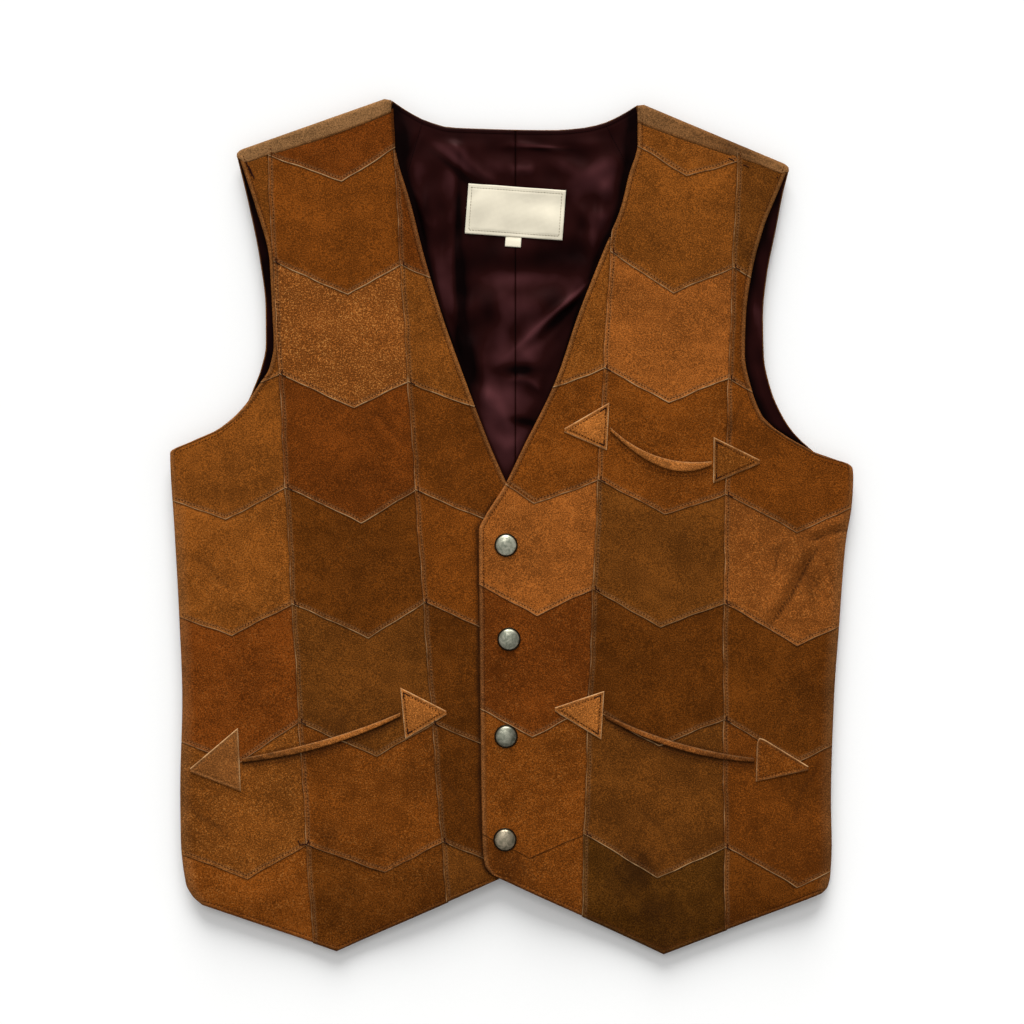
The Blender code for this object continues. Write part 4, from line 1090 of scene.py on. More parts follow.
def stripRows(x):
    # Rows of a strip round the shoulder's fold and then flat to its seam: both faces, wear and soil
    look, lay = backLook, vestLay
    side = "right" if x[0] < 0 else "left"
    half, inward = lay["sideSeam"], 1 if side == "right" else -1
    length = (x - shoulders[side]["arm"]) / (shoulders[side]["neck"] - shoulders[side]["arm"])
    ends = np.abs(2 * np.clip(length, 0, 1) - 1)
    worn = look["worn"][side] * (1 - look["wornLess"][side] * (1 - ends))
    soiled = look["soiled"][side] * hump(length - look["soiledAt"], look["soiledOver"])
    lap = look["stripLap"] + look["stripBow"][side] * np.sin(math.pi * np.clip(length, 0, 1)) ** 0.7
    fold, seamAt = shoulderFold(x), shoulderLine(x, "Seam") - lap
    groove = sum(0.35 * hump(x - place, 1.0) - 0.2 * hump(x - place - 2.2, 1.6)
                 for place in look["crossSeams"])
    for turn in np.radians(np.arange(*look["stripTurns"])):
        along, up = math.cos(turn), math.sin(turn)
        y = fold - lay["shoulderRoll"] * (1 - along)
        z = half + half * up - groove * max(up, 0)
        inner = np.stack([x, y - lay["suede"] * along, z - lay["suede"] * up], -1)
        yield np.stack([x, y, z], -1), inner, worn, soiled
    flatFrom = fold - lay["shoulderRoll"]
    for step in np.linspace(0, 1, look["stripSteps"] + 1)[1:]:
        y = flatFrom + step * (seamAt - flatFrom)
        fromArm = np.abs(x - shoulders[side]["arm"])
        tapered = x + inward * look["stripTaper"] * step * (1 - ramp(fromArm / look["stripTaperOver"]))
        z = lay["frontTop"] + 0.22 * ramp(step) - groove - 0.2 * float(step > 0.99)
        z = np.maximum(z, heightOn(frontTree, tapered, y, 0.0) + 0.06 + 0.19 * (1 - step**3))
        inner = np.stack([tapered, y, z - look["stripThick"]], -1)
        yield np.stack([tapered, y, z], -1), inner, worn * (1 - 0.5 * float(step > 0.85)), soiled


back = buildBack()
print("back:", len(back.data.polygons), "faces")


liningLook = {
    "edge": 0.9, "neckInset": 0.5, "atSide": 10.0, "hem": 12.0, "thick": 0.5, "lowest": 1.75, "margin": 12.0,
    "neckSteps": 72, "armSteps": 30,
    # Painted sheen-and-shade level of the satin seen in each armhole
    "armSheen": {"right": -0.55, "left": -0.15},
    "yokeSeams": (((-61.0, 278.0), (-72.0, 240.0)), ((65.0, 274.0), (80.0, 245.0))),
    # Slow rolls: which way, how long, how high
    "rolls": ((0.3, 34.0, 0.4), (1.3, 27.0, 0.45), (2.2, 41.0, 0.4), (1.8, 19.0, 0.22)),
    # Spots of painted sheen (strength above 0) and painted shade (below 0): middle, half sizes, lean in
    # degrees, strength
    "sheenAndShadeSpots": (
        ((-78.0, 266.0), (9.0, 20.0), 14.0, -1.8), ((84.0, 265.0), (6.5, 22.0), -12.0, -1.8),
        ((-59.0, 216.0), (4.0, 15.0), 0.0, -1.0), ((-70.0, 222.0), (4.0, 12.0), 15.0, -0.7),
        ((-37.0, 200.0), (2.4, 42.0), -1.0, -1.5), ((-34.5, 150.0), (3.6, 45.0), 0.0, -1.8),
        ((-29.0, 114.0), (7.0, 24.0), 0.0, -1.2), ((-49.0, 165.0), (8.0, 34.0), 0.0, 0.75),
        ((-65.0, 240.0), (6.0, 16.0), 8.0, 0.45), ((-48.0, 258.0), (9.0, 5.0), -30.0, 0.4),
        ((57.0, 234.0), (20.0, 10.0), 30.0, 0.7), ((68.0, 208.0), (5.0, 14.0), -20.0, 0.7),
        ((49.0, 212.0), (4.0, 10.0), 0.0, -0.5), ((12.0, 184.0), (46.0, 8.0), 0.0, -0.55),
        ((8.0, 170.0), (32.0, 6.5), 0.0, 1.05), ((42.0, 160.0), (14.0, 8.0), 30.0, 0.4),
        ((28.0, 152.0), (9.0, 9.0), 30.0, -1.0), ((14.0, 131.0), (10.0, 8.0), 0.0, 0.65),
        ((-6.0, 129.0), (5.0, 10.0), 0.0, 0.6), ((-16.0, 149.0), (8.0, 12.0), 0.0, -1.3),
        ((36.5, 146.5), (32.0, 2.6), 42.0, -1.2), ((34.0, 150.0), (32.0, 1.2), 42.0, 1.3),
        ((8.0, 250.0), (46.0, 7.0), 0.0, 0.2), ((20.0, 260.0), (16.0, 0.9), -1.0, 0.9),
        ((20.0, 257.9), (16.0, 1.0), -1.0, -1.0),
        ((-36.0, 249.0), (16.0, 2.6), -40.0, 0.8), ((-39.0, 244.0), (16.0, 2.4), -40.0, -1.1),
        ((-12.0, 84.0), (12.0, 42.0), 0.0, 0.85), ((14.0, 120.0), (12.0, 9.0), 0.0, 0.6),
        ((2.0, 88.0), (18.0, 7.0), 0.0, 0.6), ((6.0, 107.0), (14.0, 4.0), 0.0, -1.6),
        ((8.0, 71.5), (9.0, 3.2), -10.0, -1.7), ((3.0, 55.0), (16.0, 17.0), 0.0, 0.9),
    ),
    # Folds that stand up: from, to, height, width
    "ridges": (
        ((-39.0, 262.0), (-38.0, 90.0), 2.1, 7.0),
        ((-42.0, 261.0), (-12.0, 236.0), 1.9, 3.6),
        ((59.0, 167.0), (12.0, 130.0), 2.0, 3.0),
        ((-6.0, 259.5), (36.0, 258.5), 1.0, 2.2),
        ((1.0, 240.0), (14.0, 247.0), 1.0, 3.0),
        ((-38.0, 151.0), (54.0, 148.0), 1.7, 10.0),
        ((-60.0, 232.0), (-54.0, 150.0), 1.3, 5.0),
        ((-68.0, 226.0), (-56.0, 206.0), 1.5, 2.4),
        ((-70.0, 216.0), (-60.0, 199.0), 1.3, 2.2),
        ((34.0, 232.0), (70.0, 250.0), 1.6, 7.0),
        ((50.0, 216.0), (58.0, 176.0), 1.6, 5.0),
        ((66.0, 236.0), (60.0, 205.0), 1.4, 4.0),
        ((-26.0, 128.0), (-16.0, 84.0), 1.4, 5.0),
        ((6.0, 122.0), (24.0, 84.0), 1.4, 5.0),
        ((0.0, 100.0), (22.0, 94.0), 1.4, 2.6),
        ((-14.0, 92.0), (-3.0, 62.0), 1.2, 4.0),
    ),
    # Folds and seams that sink: from, to, depth, width
    "valleys": (
        ((-30.5, 250.0), (-28.0, 84.0), 1.1, 5.0),
        ((-61.0, 278.0), (-73.0, 236.0), 0.5, 1.1),
        ((65.0, 274.0), (80.0, 245.0), 0.5, 1.1),
        ((-34.0, 177.0), (58.0, 173.0), 1.1, 9.0),
        ((60.0, 161.0), (15.0, 125.0), 1.1, 3.0),
        ((-48.0, 254.0), (-20.0, 231.0), 1.0, 3.4),
        ((-50.0, 222.0), (-46.0, 176.0), 0.8, 4.0),
        ((58.0, 226.0), (44.0, 186.0), 0.8, 5.0),
        ((-14.0, 118.0), (-8.0, 78.0), 1.0, 4.0),
    ),
}


def liningFold(x, y):
    total = np.zeros_like(x)
    for sign, lines in ((1, liningLook["ridges"]), (-1, liningLook["valleys"])):
        for start, end, height, width in lines:
            along, across, fade = besideLine(x, y, start, end)
            across = across + 2.0 * np.sin(4.2 * along + start[0])
            total += sign * height * fade * hump(across, width)
    # Loose cloth rolls a little everywhere, but only the cloth in the neck is free to fold
    for turn, span, height in liningLook["rolls"]:
        roll = 2 * math.pi * (x * math.cos(turn) + y * math.sin(turn)) / span
        total += height * np.sin(roll + 3 * np.sin(x / 31 + y / 47))
    free = ramp((x - neckEdge["right"](y) - 2) / 9) * ramp((neckEdge["left"](y) - 2 - x) / 9)
    return (total + 0.8) * free * ramp((y - 30) / 25) * ramp((backNeck(x) - y - 4) / 10)


def paintedSatinSheenAndShade(x, y):
    # Painted sheen and painted shade on the satin: grey painted sheen where the strength is positive, black
    # painted shade where it is negative
    paintedSheenAndShade = np.zeros_like(x)
    for (spotX, spotY), (halfWide, halfTall), lean, strength in liningLook["sheenAndShadeSpots"]:
        turn = math.radians(lean)
        across = (x - spotX) * math.cos(turn) + (y - spotY) * math.sin(turn)
        along = (y - spotY) * math.cos(turn) - (x - spotX) * math.sin(turn)
        paintedSheenAndShade = paintedSheenAndShade + strength * np.exp(-((across / halfWide) ** 2) - (along / halfTall) ** 2)
    return paintedSheenAndShade


def buildLining(name, side):
    look, lay = liningLook, vestLay
    sign = -1 if side == "right" else 1
    centre = lay["centreBack"] + sign * 0.02

    def outerEdge(y):
        more = (look["atSide"] - look["edge"]) * ramp((armpit[side] - y) / lay["rollFade"])
        return backEdge[side](y) - sign * (look["edge"] + more)

    def centreEdge(y):
        return np.full_like(np.asarray(y, float), centre)

    neckShare = float((shoulders[side]["neck"] - centre) / (outerEdge(lay["shoulderTop"]) - centre))
    fine = np.array([0, 0.4, 0.9, 1.6, 2.6]) / 190
    shares = np.concatenate([fine, np.linspace(fine[-1], neckShare, look["neckSteps"])[1:],
                             np.linspace(neckShare, 1 - fine[-1], look["armSteps"])[1:], 1 - fine[-2::-1]])
    tops = np.array([panelTop(centreEdge, outerEdge, share, look["neckInset"], 2 * lay["shoulderRoll"])[1]
                     for share in shares])
    down = np.concatenate([np.linspace(0, 0.42, 14), np.linspace(0.42, 0.994, 230)[1:], [0.9965, 0.9985, 1]])
    x, y = panelGrid(centreEdge, outerEdge, shares, tops, down, look["hem"])
    folds, fromCentre = liningFold(x, y), x - lay["centreBack"]
    fromNeck = np.where(np.abs(x) < 84, tops - y, 9.0)
    z = lay["liningTop"] + folds - 0.55 * hump(fromCentre, 0.9)
    z = z - 0.4 * hump(fromNeck, 0.6) - 0.2 * hump(fromNeck - 3.0, 0.6)
    z = np.maximum(z, look["lowest"])
    underFront = np.minimum(x - neckEdge["right"](y), neckEdge["left"](y) - x)
    # Painted sheen and shade on the satin: the listed spots, lighter on raised folds and darker in sunken ones
    paintedSheenAndShade = 0.85 * paintedSatinSheenAndShade(x, y) + 0.2 * folds - 0.3
    # Painted shadow under the edges of the fronts
    paintedSheenAndShade = paintedSheenAndShade - (0.5 + 0.9 * ramp((y - 100) / 60)) * hump(underFront, 1.4 + 2.4 * ramp((y - 120) / 80))
    # Painted shade along the centre seam and under the neckline
    paintedSheenAndShade = paintedSheenAndShade - 0.8 * hump(fromCentre, 0.4)
    paintedSheenAndShade = paintedSheenAndShade - 0.5 * hump(fromNeck, 0.7)
    fromArm = sign * (backEdge[side](y) - x)
    fromFront = sign * (x - frontEdge[side](y))
    # In the armholes: each side's painted level, painted shadow by the front's edge and a rippled painted sheen
    armSheenAndShade = look["armSheen"][side] - 0.9 * hump(fromFront, 3.5)
    armSheenAndShade = armSheenAndShade + 0.35 * hump(fromArm - 4, 4) * np.sin(y / 7 + 0.3 * x) + 0.2 * np.sin(y / 17)
    # Under the fronts and low down, black painted shade; in the armholes, the painted armhole mark
    paintedSheenAndShade = np.where((y < 30) | (underFront < -2), np.where(y > armpit[side], armSheenAndShade, -1.0), paintedSheenAndShade)
    # Rows run from the neck down, and columns from the wearer's right
    order = np.s_[::-1, ::sign]
    grid, paintedSheenAndShade = np.stack([x, y, z], -1)[order], np.clip(paintedSheenAndShade, -1.0, 1.0)[order]
    # The fold mark holds the painted sheen and painted shade
    piece = closedCloth(f"{name}_satin", grid, look["thick"], 0.0, satin, {"fold": paintedSheenAndShade})
    layCloth(piece, name, "satin_maroon", grid, look["margin"], ["back"])
    return piece


linings = [buildLining("lining_right", "right"), buildLining("lining_left", "left")]
liningTree = surfaceTree(linings)
print("lining:", sum(len(piece.data.polygons) for piece in linings), "faces")


arrowLook = {
    # Corners, hide, and how pale the cut edge is along the base, above and below
    "arrows": {
        "chest_tab_inner": {"upper": (66.6, 84.0), "lower": (65.0, 51.8), "tip": (36.1, 65.2),
                            "lot": "amber"},
        "chest_tab_outer": {"upper": (138.3, 60.4), "lower": (137.9, 29.2), "tip": (169.7, 43.7),
                            "lot": "tan", "pale": (1.0, 0.6, 0.35)},
        "right_tab_outer": {"upper": (-187.5, -138.6), "lower": (-185.5, -181.8), "tip": (-220.0, -167.4),
                            "lot": "tan", "rub": 0.22, "pale": (0.8, 1.0, 0.02), "plain": True},
        "right_tab_inner": {"upper": (-76.2, -110.9), "lower": (-72.8, -145.8), "tip": (-44.8, -128.0),
                            "lot": "amber"},
        "left_tab_inner": {"upper": (63.2, -113.3), "lower": (61.1, -146.2), "tip": (29.6, -125.6),
                           "lot": "amber"},
        "left_tab_outer": {"upper": (168.0, -143.4), "lower": (167.0, -174.9), "tip": (202.9, -166.0),
                           "lot": "chestnut", "pale": (0.5, 1.0, 0.25), "sewn": (0.5, 0.8), "rounded": 2.6},
    },
    "pale": (0.9, 0.9, 0.9), "tip": 2.4, "seat": 0.3, "softened": 14, "thick": 0.95,
    "edge": 0.75, "flare": 0.15, "coarse": 0.6, "step": 1.1, "stitchIn": 2.0, "stitchShare": 0.8,
}


def insideArrow(arrow, x, y):
    corners = [arrow[key] for key in ("upper", "lower", "tip", "upper")]
    turns = [(bx - ax) * (y - ay) - (by - ay) * (x - ax) for (ax, ay), (bx, by) in zip(corners, corners[1:])]
    return min(turns) > 0 or max(turns) < 0


def softened(heights, rounds):
    for _ in range(rounds):
        heights = sum(neighbours(heights)) / 4
    return heights


def frontUnder(name, x, y, rounds):
    # Smoothed height of the front that a welt or tab is sewn to, and the patch that it lies on
    lapped = not name.startswith("right")
    ground = softened(heightOn(frontTree, x, y, frontHeight(x, y, lapped)), rounds)
    return ground, ["left_middle_4" if lapped else "right_middle_6"]


def buildWelt(name, hide):
    look, welt = weltLook, weltLook["welts"][name]
    upper, lower = weltEdges[name]
    across = np.linspace(0, 1, look["rows"])[:, None]
    x, y = (upper[None, :, i] + across * (lower - upper)[None, :, i] for i in (0, 1))
    ground, restsOn = frontUnder(name, x, y, look["softened"])
    width = np.hypot(*(upper - lower).T)[None, :]
    crown = np.sqrt(np.clip(1 - (2 * across - 1.0) ** 2, 0, 1)) * ramp(width / 6)
    top = np.stack([x, y, ground + look["seat"] + look["rise"] * (0.35 + 0.65 * crown)], -1)
    # Handled clean along part of its length
    clean, reach = welt["clean"]
    soiled = welt["soil"] * (1 - hump(np.linspace(0, 1, look["steps"]) - clean, reach))[None, :]
    fromEdge = np.minimum(across, 1 - across) * width
    mottled = 0.25 * np.sin(x / 2.3 + y) * np.sin(x / 5.1)
    # Painted shade along the welt's own edges
    edgeShade = welt["edge"] * (1 - ramp(fromEdge / 1.3))
    marks = {
        "cut": 0.6 * (1 - ramp(across * width / 1.2)) * (1 - soiled) * (1 - edgeShade), "rub": 0.15 * crown,
        "grimeAndShade": np.clip(np.maximum(edgeShade, soiled) + mottled * soiled, 0, 0.9),
        "hide": hide, "coarse": look["coarse"],
    }
    piece = closedCloth(f"{name}_suede", top, look["thick"], 0.0, suede(welt["lot"]), marks)
    layCloth(piece, name, slotOf(welt["lot"]), top, look["margin"], restsOn)
    stitchLines.append((lower - (0.0, look["stitchBelow"]))[look["unsewnEnds"]:-look["unsewnEnds"]])


def buildTab(name, hide):
    look, arrow = arrowLook, arrowLook["arrows"][name]
    upper, lower, tip = (np.array(arrow[key]) for key in ("upper", "lower", "tip"))
    half = (upper - lower) / np.linalg.norm(upper - lower) * look["tip"] / 2
    tipUpper, tipLower = tip + half, tip - half
    along = stopsAlong(float(np.linalg.norm(tip - (upper + lower) / 2)), look["step"])[None, :]
    across = stopsAlong(float(np.linalg.norm(upper - lower)), look["step"])[:, None]
    if tip[0] < upper[0]:
        along = along[:, ::-1]
    tapered = (tipLower - lower) - (tipUpper - upper)
    x, y = (upper[i] + along * (tipUpper - upper)[i] + across * ((lower - upper)[i] + along * tapered[i])
            for i in (0, 1))
    lines = ((upper, lower), (upper, tipUpper), (lower, tipLower), (tipUpper, tipLower))
    sides = [np.abs(besideLine(x, y, *line)[1]) for line in lines]
    edge = np.minimum.reduce(sides)
    fromCorner = np.clip(1 - np.hypot(x - upper[0], y - upper[1]) / 8.0, 0, 1) ** 2
    inward = (lower + tip - 2 * upper) / np.linalg.norm(lower + tip - 2 * upper)
    x, y = (grid + arrow.get("rounded", 0.0) * fromCorner * inward[i] for i, grid in enumerate((x, y)))
    ground, restsOn = frontUnder(name, x, y, look["softened"])
    sewn = edge - look["stitchIn"]
    z = ground + look["seat"] + look["thick"] * (0.75 + 0.25 * ramp(edge / 0.5)) - 0.25 * hump(sewn, 0.6)
    top = np.stack([x, y, z + 0.35 * ramp(edge / 7)], -1)
    # Painted shade in the groove of the stitching round the tab
    groove = 0.0 if "plain" in arrow or "sewn" in arrow else 0.3
    marks = {
        "cut": 0.9 * np.maximum.reduce([pale * (1 - ramp((side - 0.15) / 0.5))
                                        for pale, side in zip(arrow.get("pale", look["pale"]), sides)]),
        "rub": arrow.get("rub", 0.0) + 0.2 * hump(edge - 1, 1),
        "grimeAndShade": groove * hump(sewn, 0.5), "hide": hide, "coarse": look["coarse"],
    }
    piece = closedCloth(f"{name}_suede", top, look["edge"], look["flare"], suede(arrow["lot"]), marks)
    layCloth(piece, name, slotOf(arrow["lot"]), top, 0.0, restsOn)
    if "plain" in arrow:
        return piece
    centre = (upper + lower + tip) / 3
    corners = [centre + (point - centre) * look["stitchShare"] for point in (upper, tip, lower, upper)]
    stitched = np.concatenate([np.linspace(a, b, 14) for a, b in zip(corners, corners[1:])])
    start, end = (int(share * len(stitched)) for share in arrow.get("sewn", (0, 1)))
    tabLines.append(stitched[start:end])
    if "sewn" not in arrow:
        tackLines.append(np.array([corners[0] + (0, -3.5), corners[0], corners[0] + 0.12 * (tip - upper)]))
        tackLines.append(np.array([corners[2] + (0, 3.0), corners[2], corners[2] + 0.10 * (tip - lower)]))
    return piece


for order, weltName in enumerate(weltLook["welts"]):
    buildWelt(weltName, 30.0 + 0.7 * order)
tabs = [buildTab(tabName, 40.0 + 0.7 * order) for order, tabName in enumerate(arrowLook["arrows"])]
print("pockets: welts and tabs laid on")


labelLook = {"centre": (2.5, 215.0), "size": (67.0, 34.3), "turn": math.radians(-4.2), "tab": (10.8, 7.0),
             "tuckedUnder": 4.5, "seat": 0.45, "tabSeat": 0.38, "thick": 0.45, "tabThick": 0.3, "stitchIn": 2.6}


def labelPlace(u, v):
    turn, (x, y) = labelLook["turn"], labelLook["centre"]
    return x + u * math.cos(turn) - v * math.sin(turn), y + u * math.sin(turn) + v * math.cos(turn)


def buildLabel():
    look, lowest = labelLook, vestLay["liningTop"]
    (wide, tall), (tabWide, tabTall) = look["size"], look["tab"]
    u = np.linspace(-wide / 2, wide / 2, 72)[None, :]
    v = np.linspace(tall / 2, -tall / 2, 40)[:, None]
    x, y = labelPlace(u, v)
    ground = np.maximum(softened(heightOn(liningTree, x, y, lowest), 30), lowest)
    edge = np.minimum(wide / 2 - np.abs(u), tall / 2 - np.abs(v))
    z = ground + look["seat"] + look["thick"] + 0.25 * ramp(edge / 4) - 0.2 * hump(edge - look["stitchIn"], 0.7)
    z = z + 0.25 * np.sin(u / 6.0 + 0.8) * np.sin(v / 9.0) * ramp(edge / 5)
    top = np.stack([x, y, z], -1)
    label = closedCloth("label_woven", top, look["thick"], 0.0, labelCloth, {})
    layCloth(label, "label", "woven_cream", top, 0.0, ["lining_right", "lining_left"])
    u = np.linspace(-tabWide / 2, tabWide / 2, 14)[None, :]
    v = -tall / 2 + look["tuckedUnder"] - np.linspace(0, 1, 16)[:, None] * (tabTall + look["tuckedUnder"])
    x, y = labelPlace(u, v)
    below = -tall / 2 - v
    ground = np.maximum(softened(heightOn(liningTree, x, y, lowest), 8), lowest)
    top = np.stack([x, y, ground + look["tabSeat"] + 0.35 * ramp(below / 3) + 0.12 * np.cos(u / 3)], -1)
    tab = closedCloth("size_tab_woven", top, look["tabThick"], 0.0, labelCloth, {})
    layCloth(tab, "size_tab", "woven_cream", top, 0.0, ["lining_left"])
    halfWide, halfTall = wide / 2 - look["stitchIn"], tall / 2 - look["stitchIn"]
    corners = [np.array((halfWide * i, halfTall * j))
               for i, j in ((-1, 1), (1, 1), (1, -1), (-1, -1), (-1, 1))]
    border = np.concatenate([np.linspace(a, b, 40) for a, b in zip(corners, corners[1:])])
    return label, np.stack(labelPlace(border[:, 0], border[:, 1]), -1)


label, labelBorder = buildLabel()
print("label sewn in, left bare")


snapLook = {
    # Place of each cap, how much painted shade it takes away from a painted highlight up and left of its crown,
    # and how far the brass shows
    "caps": (((-3.9, -13.3), 0.0, 0.1), ((-1.9, -77.6), 0.36, 0.1), ((-3.9, -144.1), 0.66, 0.1),
             ((-4.6, -214.7), 0.5, 0.75)),
    "radius": 8.0, "height": 3.2, "rim": 0.8, "sides": 56,
}


def buildSnap(number, place, paintedDomeShade, warm):
    look = snapLook
    radius, rimHeight, height, sides = look["radius"], look["rim"], look["height"], look["sides"]
    dome, bead = radius - rimHeight, rimHeight / 2
    profile = [(dome * math.sin(t), rimHeight + (height - rimHeight) * math.cos(t) ** 0.85)
               for t in np.radians(np.linspace(0, 86, 13))]
    profile += [(dome + 0.12, rimHeight - 0.25)]
    profile += [(radius - bead + bead * math.sin(t), bead + bead * math.cos(t))
                for t in np.radians(np.linspace(-50, 180, 11))]
    angles = np.linspace(0, 2 * math.pi, sides, endpoint=False)
    rimX, rimY = place[0] + radius * np.cos(angles), place[1] + radius * np.sin(angles)
    base = float(np.median(heightOn(frontTree, rimX, rimY, frontHeight(rimX, rimY, True)))) + 0.1
    points, rim = [(*place, base + profile[0][1])], [0.0]
    for out, up in profile[1:]:
        for angle in angles:
            across, along = out * math.cos(angle), out * math.sin(angle)
            points.append((place[0] + across, place[1] + along, base + up))
            # Painted highlight a little up and left of the crown, painted shade deepening away from it; the rim
            # bead keeps its real patina
            fromHighlight = math.hypot(across + 1.2, along - 0.6)
            worn = paintedDomeShade * ramp((fromHighlight / dome - 0.25) / 0.7)
            rim.append(float(max(worn, ramp((out - dome + 0.7) / 0.9))))
    points.append((*place, base))
    rim.append(1.0)
    faces = [[0, 1 + i, 1 + (i + 1) % sides] for i in range(sides)]
    for ring in range(len(profile) - 2):
        for i in range(sides):
            a, b = 1 + ring * sides + i, 1 + ring * sides + (i + 1) % sides
            faces.append([a, a + sides, b + sides, b])
    last = 1 + (len(profile) - 2) * sides
    faces += [[len(points) - 1, last + (i + 1) % sides, last + i] for i in range(sides)]
    piece = addPiece(f"snap_{number}_cap", points, faces, snapMetal, {"rim": rim, "warm": [warm] * len(rim)})
    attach(piece, "root")
    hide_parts(f"snap_{number}")


for number, cap in enumerate(snapLook["caps"], 1):
    buildSnap(number, *cap)
print("snaps: 4 caps")


# Each kind of stitch: its sizes, how far above the cloth it lies, its thread and slot
stitchSizes = ("pitch", "length", "width", "height")
stitchLook = {
    "seam_stitches": {"pitch": 2.2, "length": 1.35, "width": 0.8, "height": 0.6, "seed": 3, "above": 0.08,
                      "thread": seamThread, "slot": "suede_umber"},
    "edge_stitches": {"pitch": 2.3, "length": 1.5, "width": 0.7, "height": 0.5, "seed": 5, "above": 0.06,
                      "thread": seamThread, "slot": "suede_umber"},
    "tack_stitches": {"pitch": 1.0, "length": 1.4, "width": 0.95, "height": 0.7, "seed": 7, "above": 0.12,
                      "thread": tackThread, "slot": "satin_maroon"},
    "lining_stitches": {"pitch": 1.5, "length": 1.45, "width": 0.5, "height": 0.3, "seed": 11, "above": 0.05,
                        "thread": liningThread, "slot": "satin_maroon"},
    "label_stitches": {"pitch": 2.0, "length": 1.5, "width": 0.42, "height": 0.3, "seed": 9, "above": 0.03,
                       "thread": labelThread, "slot": "woven_cream"},
}


def stitchTree():
    # Lockstitches along sewing lines: one small swollen thread at each step
    tree = bpy.data.node_groups.new("lockstitchRow", "GeometryNodeTree")
    sockets = (("Lines", "INPUT", "Geometry"), *[(name, "INPUT", "Float") for name in stitchSizes],
               ("seed", "INPUT", "Int"), ("thread", "INPUT", "Material"), ("Stitches", "OUTPUT", "Geometry"))
    for name, way, kind in sockets:
        tree.interface.new_socket(name, in_out=way, socket_type="NodeSocket" + kind)
    given = addNode(tree, "NodeGroupInput", output=None)
    paths = addNode(tree, "GeometryNodeMeshToCurve", inputs={"Mesh": given["Lines"]})
    spaced = addNode(tree, "GeometryNodeResampleCurve", {"mode": "LENGTH"},
                     {"Curve": paths, "Length": given["pitch"]})
    along = addNode(tree, "GeometryNodeInputTangent")
    turn = addNode(tree, "FunctionNodeAlignRotationToVector", {"axis": "X"}, {"Vector": along})
    vary = addNode(tree, "FunctionNodeRandomValue", {"data_type": "FLOAT_VECTOR"},
                   {0: (0.8, 0.85, 0.8), 1: (1.1, 1.15, 1.15), "Seed": given["seed"]})
    bead = addNode(tree, "GeometryNodeMeshUVSphere", None, {"Segments": 6, "Rings": 4, "Radius": 0.5}, "Mesh")
    size = addNode(tree, "ShaderNodeCombineXYZ", inputs={
        i: given[name] for i, name in enumerate(("length", "width", "height"))})
    stitch = addNode(tree, "GeometryNodeTransform", inputs={"Geometry": bead, "Scale": size})
    sewn = addNode(tree, "GeometryNodeInstanceOnPoints", inputs={
        "Points": spaced, "Instance": stitch, "Rotation": turn, "Scale": vary})
    for kind in ("GeometryNodeRealizeInstances", "GeometryNodeSetShadeSmooth"):
        sewn = addNode(tree, kind, inputs={0: sewn})
    sewn = addNode(tree, "GeometryNodeSetMaterial", inputs={0: sewn, "Material": given["thread"]})
    addNode(tree, "NodeGroupOutput", inputs={0: sewn}, output=None)
    return tree


lockstitch = stitchTree()


def sew(name, lines):
    look, points, edges = stitchLook[name], [], []
    for line in lines:
        start = len(points)
        points += (line * mm).tolist()
        edges += [(start + i, start + i + 1) for i in range(len(line) - 1)]
    mesh = bpy.data.meshes.new(name + "Lines")
    mesh.from_pydata(points, edges, [])
    guide = addObject(name + "Lines", mesh)
    modifier = guide.modifiers.new("lockstitch", "NODES")
    modifier.node_group = lockstitch
    sockets = {item.name: item.identifier for item in lockstitch.interface.items_tree
               if item.in_out == "INPUT"}
    for key in stitchSizes:
        modifier[sockets[key]] = look[key] * mm
    modifier[sockets["seed"]] = look["seed"]
    modifier[sockets["thread"]] = look["thread"]
    graph = bpy.context.evaluated_depsgraph_get()
    sewn = bpy.data.meshes.new_from_object(guide.evaluated_get(graph))
    bpy.data.objects.remove(guide, do_unlink=True)
    sewn.name = name
    piece = addObject(name, sewn)
    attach(piece, "root")
    print("sewn:", name, len(sewn.polygons), "faces")


def linesOn(tree, lines, above):
    # The parts of the sewing lines that lie on the cloth, at their heights
    kept = []
    for line in lines:
        height = heightOn(tree, line[:, 0], line[:, 1], np.nan) + above
        onCloth = ~np.isnan(height)
        if onCloth.sum() > 1:
            kept.append(np.column_stack([line, height])[onCloth])
    return kept


shownTree = surfaceTree(fronts + tabs + [back])
seamTree = surfaceTree(fronts + [back])
# Backstitches where the rows of patches meet
for name, column in columns.items():
    if column["edges"][0] == "lapped":
        seamName = column["seams"][0]
        for index in range(1, rowCount):
            y = rowHeights[seamName][index]
            x = float(seam[seamName](y))
            covered = any(insideArrow(arrow, x + 2, y) for arrow in arrowLook["arrows"].values())
            if not covered:
                tackLines.append(np.array([(x + 1.8, y + 1.3), (x + 1.9, y - 0.5), (x + 4.4, y - 1.9)]))
# Backstitches at the arm ends of the shoulders, and one bar where a row was started again
tackLines += [np.array(line) for line in (
    ((-182.0, 249.0), (-178.0, 240.0)), ((-180.0, 246.0), (-176.5, 238.0)), ((182.0, 238.5), (186.5, 234.5)),
    ((149.0, 251.5), (152.0, 250.0)), ((159.0, 247.0), (162.0, 245.8)),
    ((-146.0, -216.0), (-145.0, -218.5), (-140.0, -218.0), (-139.0, -215.5)))]
neckAcross = np.linspace(shoulders["right"]["neck"] + 4, shoulders["left"]["neck"] - 4, 90)
liningLines = [np.linspace(*ends, 30) for ends in liningLook["yokeSeams"]]
liningLines.append(np.stack([neckAcross, backNeck(neckAcross) - 3.0], -1))
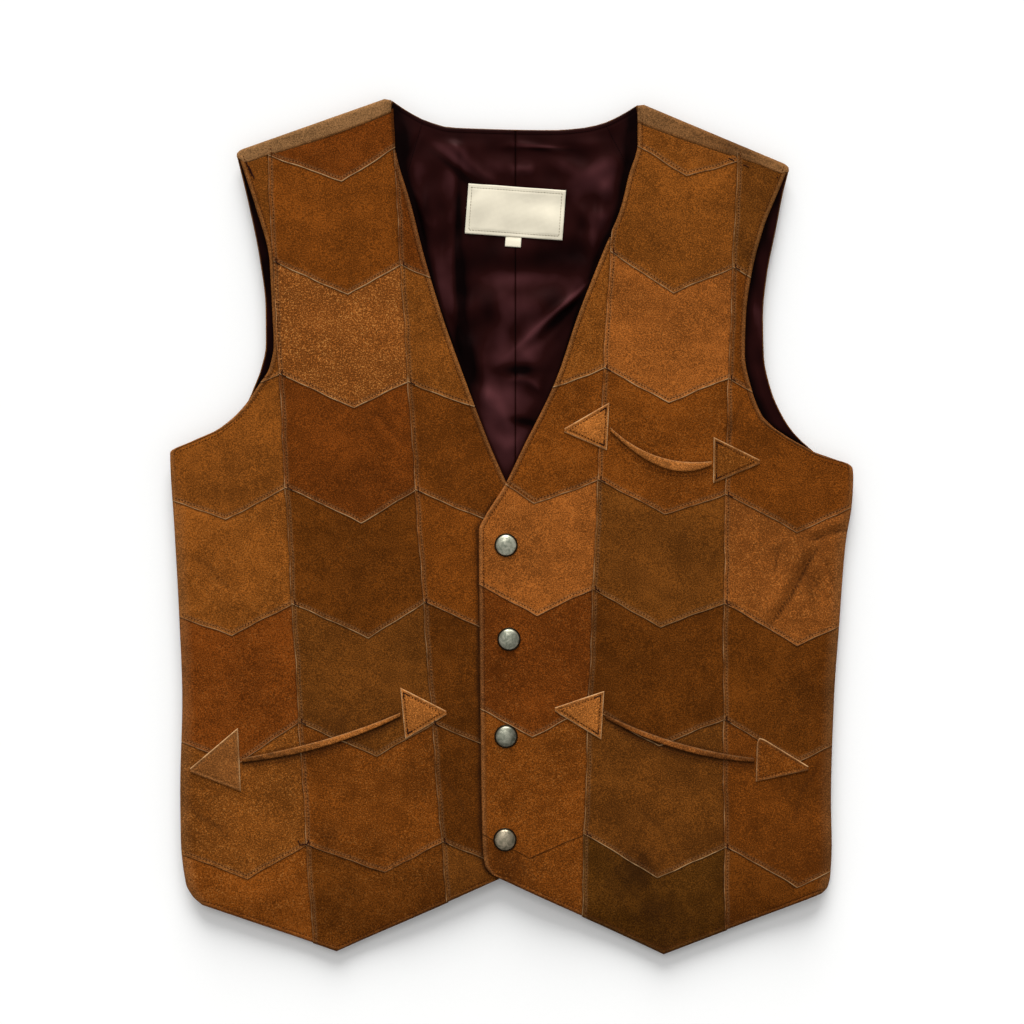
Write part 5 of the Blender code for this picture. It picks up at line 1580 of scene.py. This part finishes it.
# The cloth that each kind of stitch lies on, and its lines
sewing = {
    "seam_stitches": ((seamTree, stitchLines), (shownTree, tabLines)),
    "edge_stitches": ((seamTree, topstitchLines),),
    "tack_stitches": ((shownTree, tackLines),),
    "lining_stitches": ((liningTree, liningLines),),
    "label_stitches": ((surfaceTree([label]), [labelBorder]),),
}
for name, runs in sewing.items():
    sew(name, [line for cloth, lines in runs for line in linesOn(cloth, lines, stitchLook[name]["above"])])


studioLook = {
    "floorDrop": 0.0072, "floorSize": 40.0, "floor": "fafaf9", "world": 0.5,
    # Broad soft boxes far off: how high they stand, where, how wide they look, and their strength
    "boxes": {"keyBox": (22.0, 91.0, 42.0, 4.1), "topBox": (64.0, 108.0, 20.0, 0.3)},
    "lens": 100.0, "sensor": 36.0, "pictureWidth": 0.7014, "aim": (0.00017, 0.00935, 0.005),
}


def buildStudio():
    look = studioLook
    half = look["floorSize"] / 2
    corners = [(half * i, half * j, -look["floorDrop"]) for i, j in ((-1, -1), (1, -1), (1, 1), (-1, 1))]
    mesh = bpy.data.meshes.new("studioFloor")
    mesh.from_pydata(corners, [], [(0, 1, 2, 3)])
    # Matt white background paper
    paper, tree, shader, place = startMaterial("studioPaper")
    tooth = addNode(tree, "ShaderNodeTexNoise", inputs={"Vector": place, "Scale": 900.0, "Detail": 2.0})
    tint = addNode(tree, "ShaderNodeValToRGB", inputs={"Fac": tooth}, stops=[
        (0.3, linear(look["floor"], 0.99)), (0.7, linear(look["floor"]))])
    fillInputs(tree, shader, {"Base Color": tint, "Roughness": 0.9})
    mesh.materials.append(paper)
    addObject("studioFloor", mesh)

    world = bpy.data.worlds.new("softStudio")
    world.use_nodes = True
    fillInputs(world.node_tree, world.node_tree.nodes["Background"], {
        "Color": (1.0, 1.0, 1.0, 1.0), "Strength": look["world"]})
    bpy.context.scene.world = world
    for name, (height, bearing, spread, strength) in look["boxes"].items():
        light = bpy.data.lights.new(name, "SUN")
        light.energy, light.angle = strength, math.radians(spread)
        lamp = addObject(name, light)
        up, turn = math.radians(height), math.radians(bearing)
        level = math.cos(up)
        lamp.location = 2 * Vector((level * math.cos(turn), level * math.sin(turn), math.sin(up)))
        lamp.rotation_euler = (-lamp.location).to_track_quat("-Z", "Y").to_euler()

    camera = bpy.data.cameras.new("overhead")
    camera.lens, camera.sensor_width = look["lens"], look["sensor"]
    camera.clip_end = 50.0
    holder = addObject("overhead", camera)
    x, y, z = look["aim"]
    holder.location = (x, y, z + look["pictureWidth"] * look["lens"] / look["sensor"])
    bpy.context.scene.camera = holder
    bpy.context.scene.view_settings.view_transform = "Standard"


buildStudio()
bpy.context.view_layer.update()
print("studio ready")
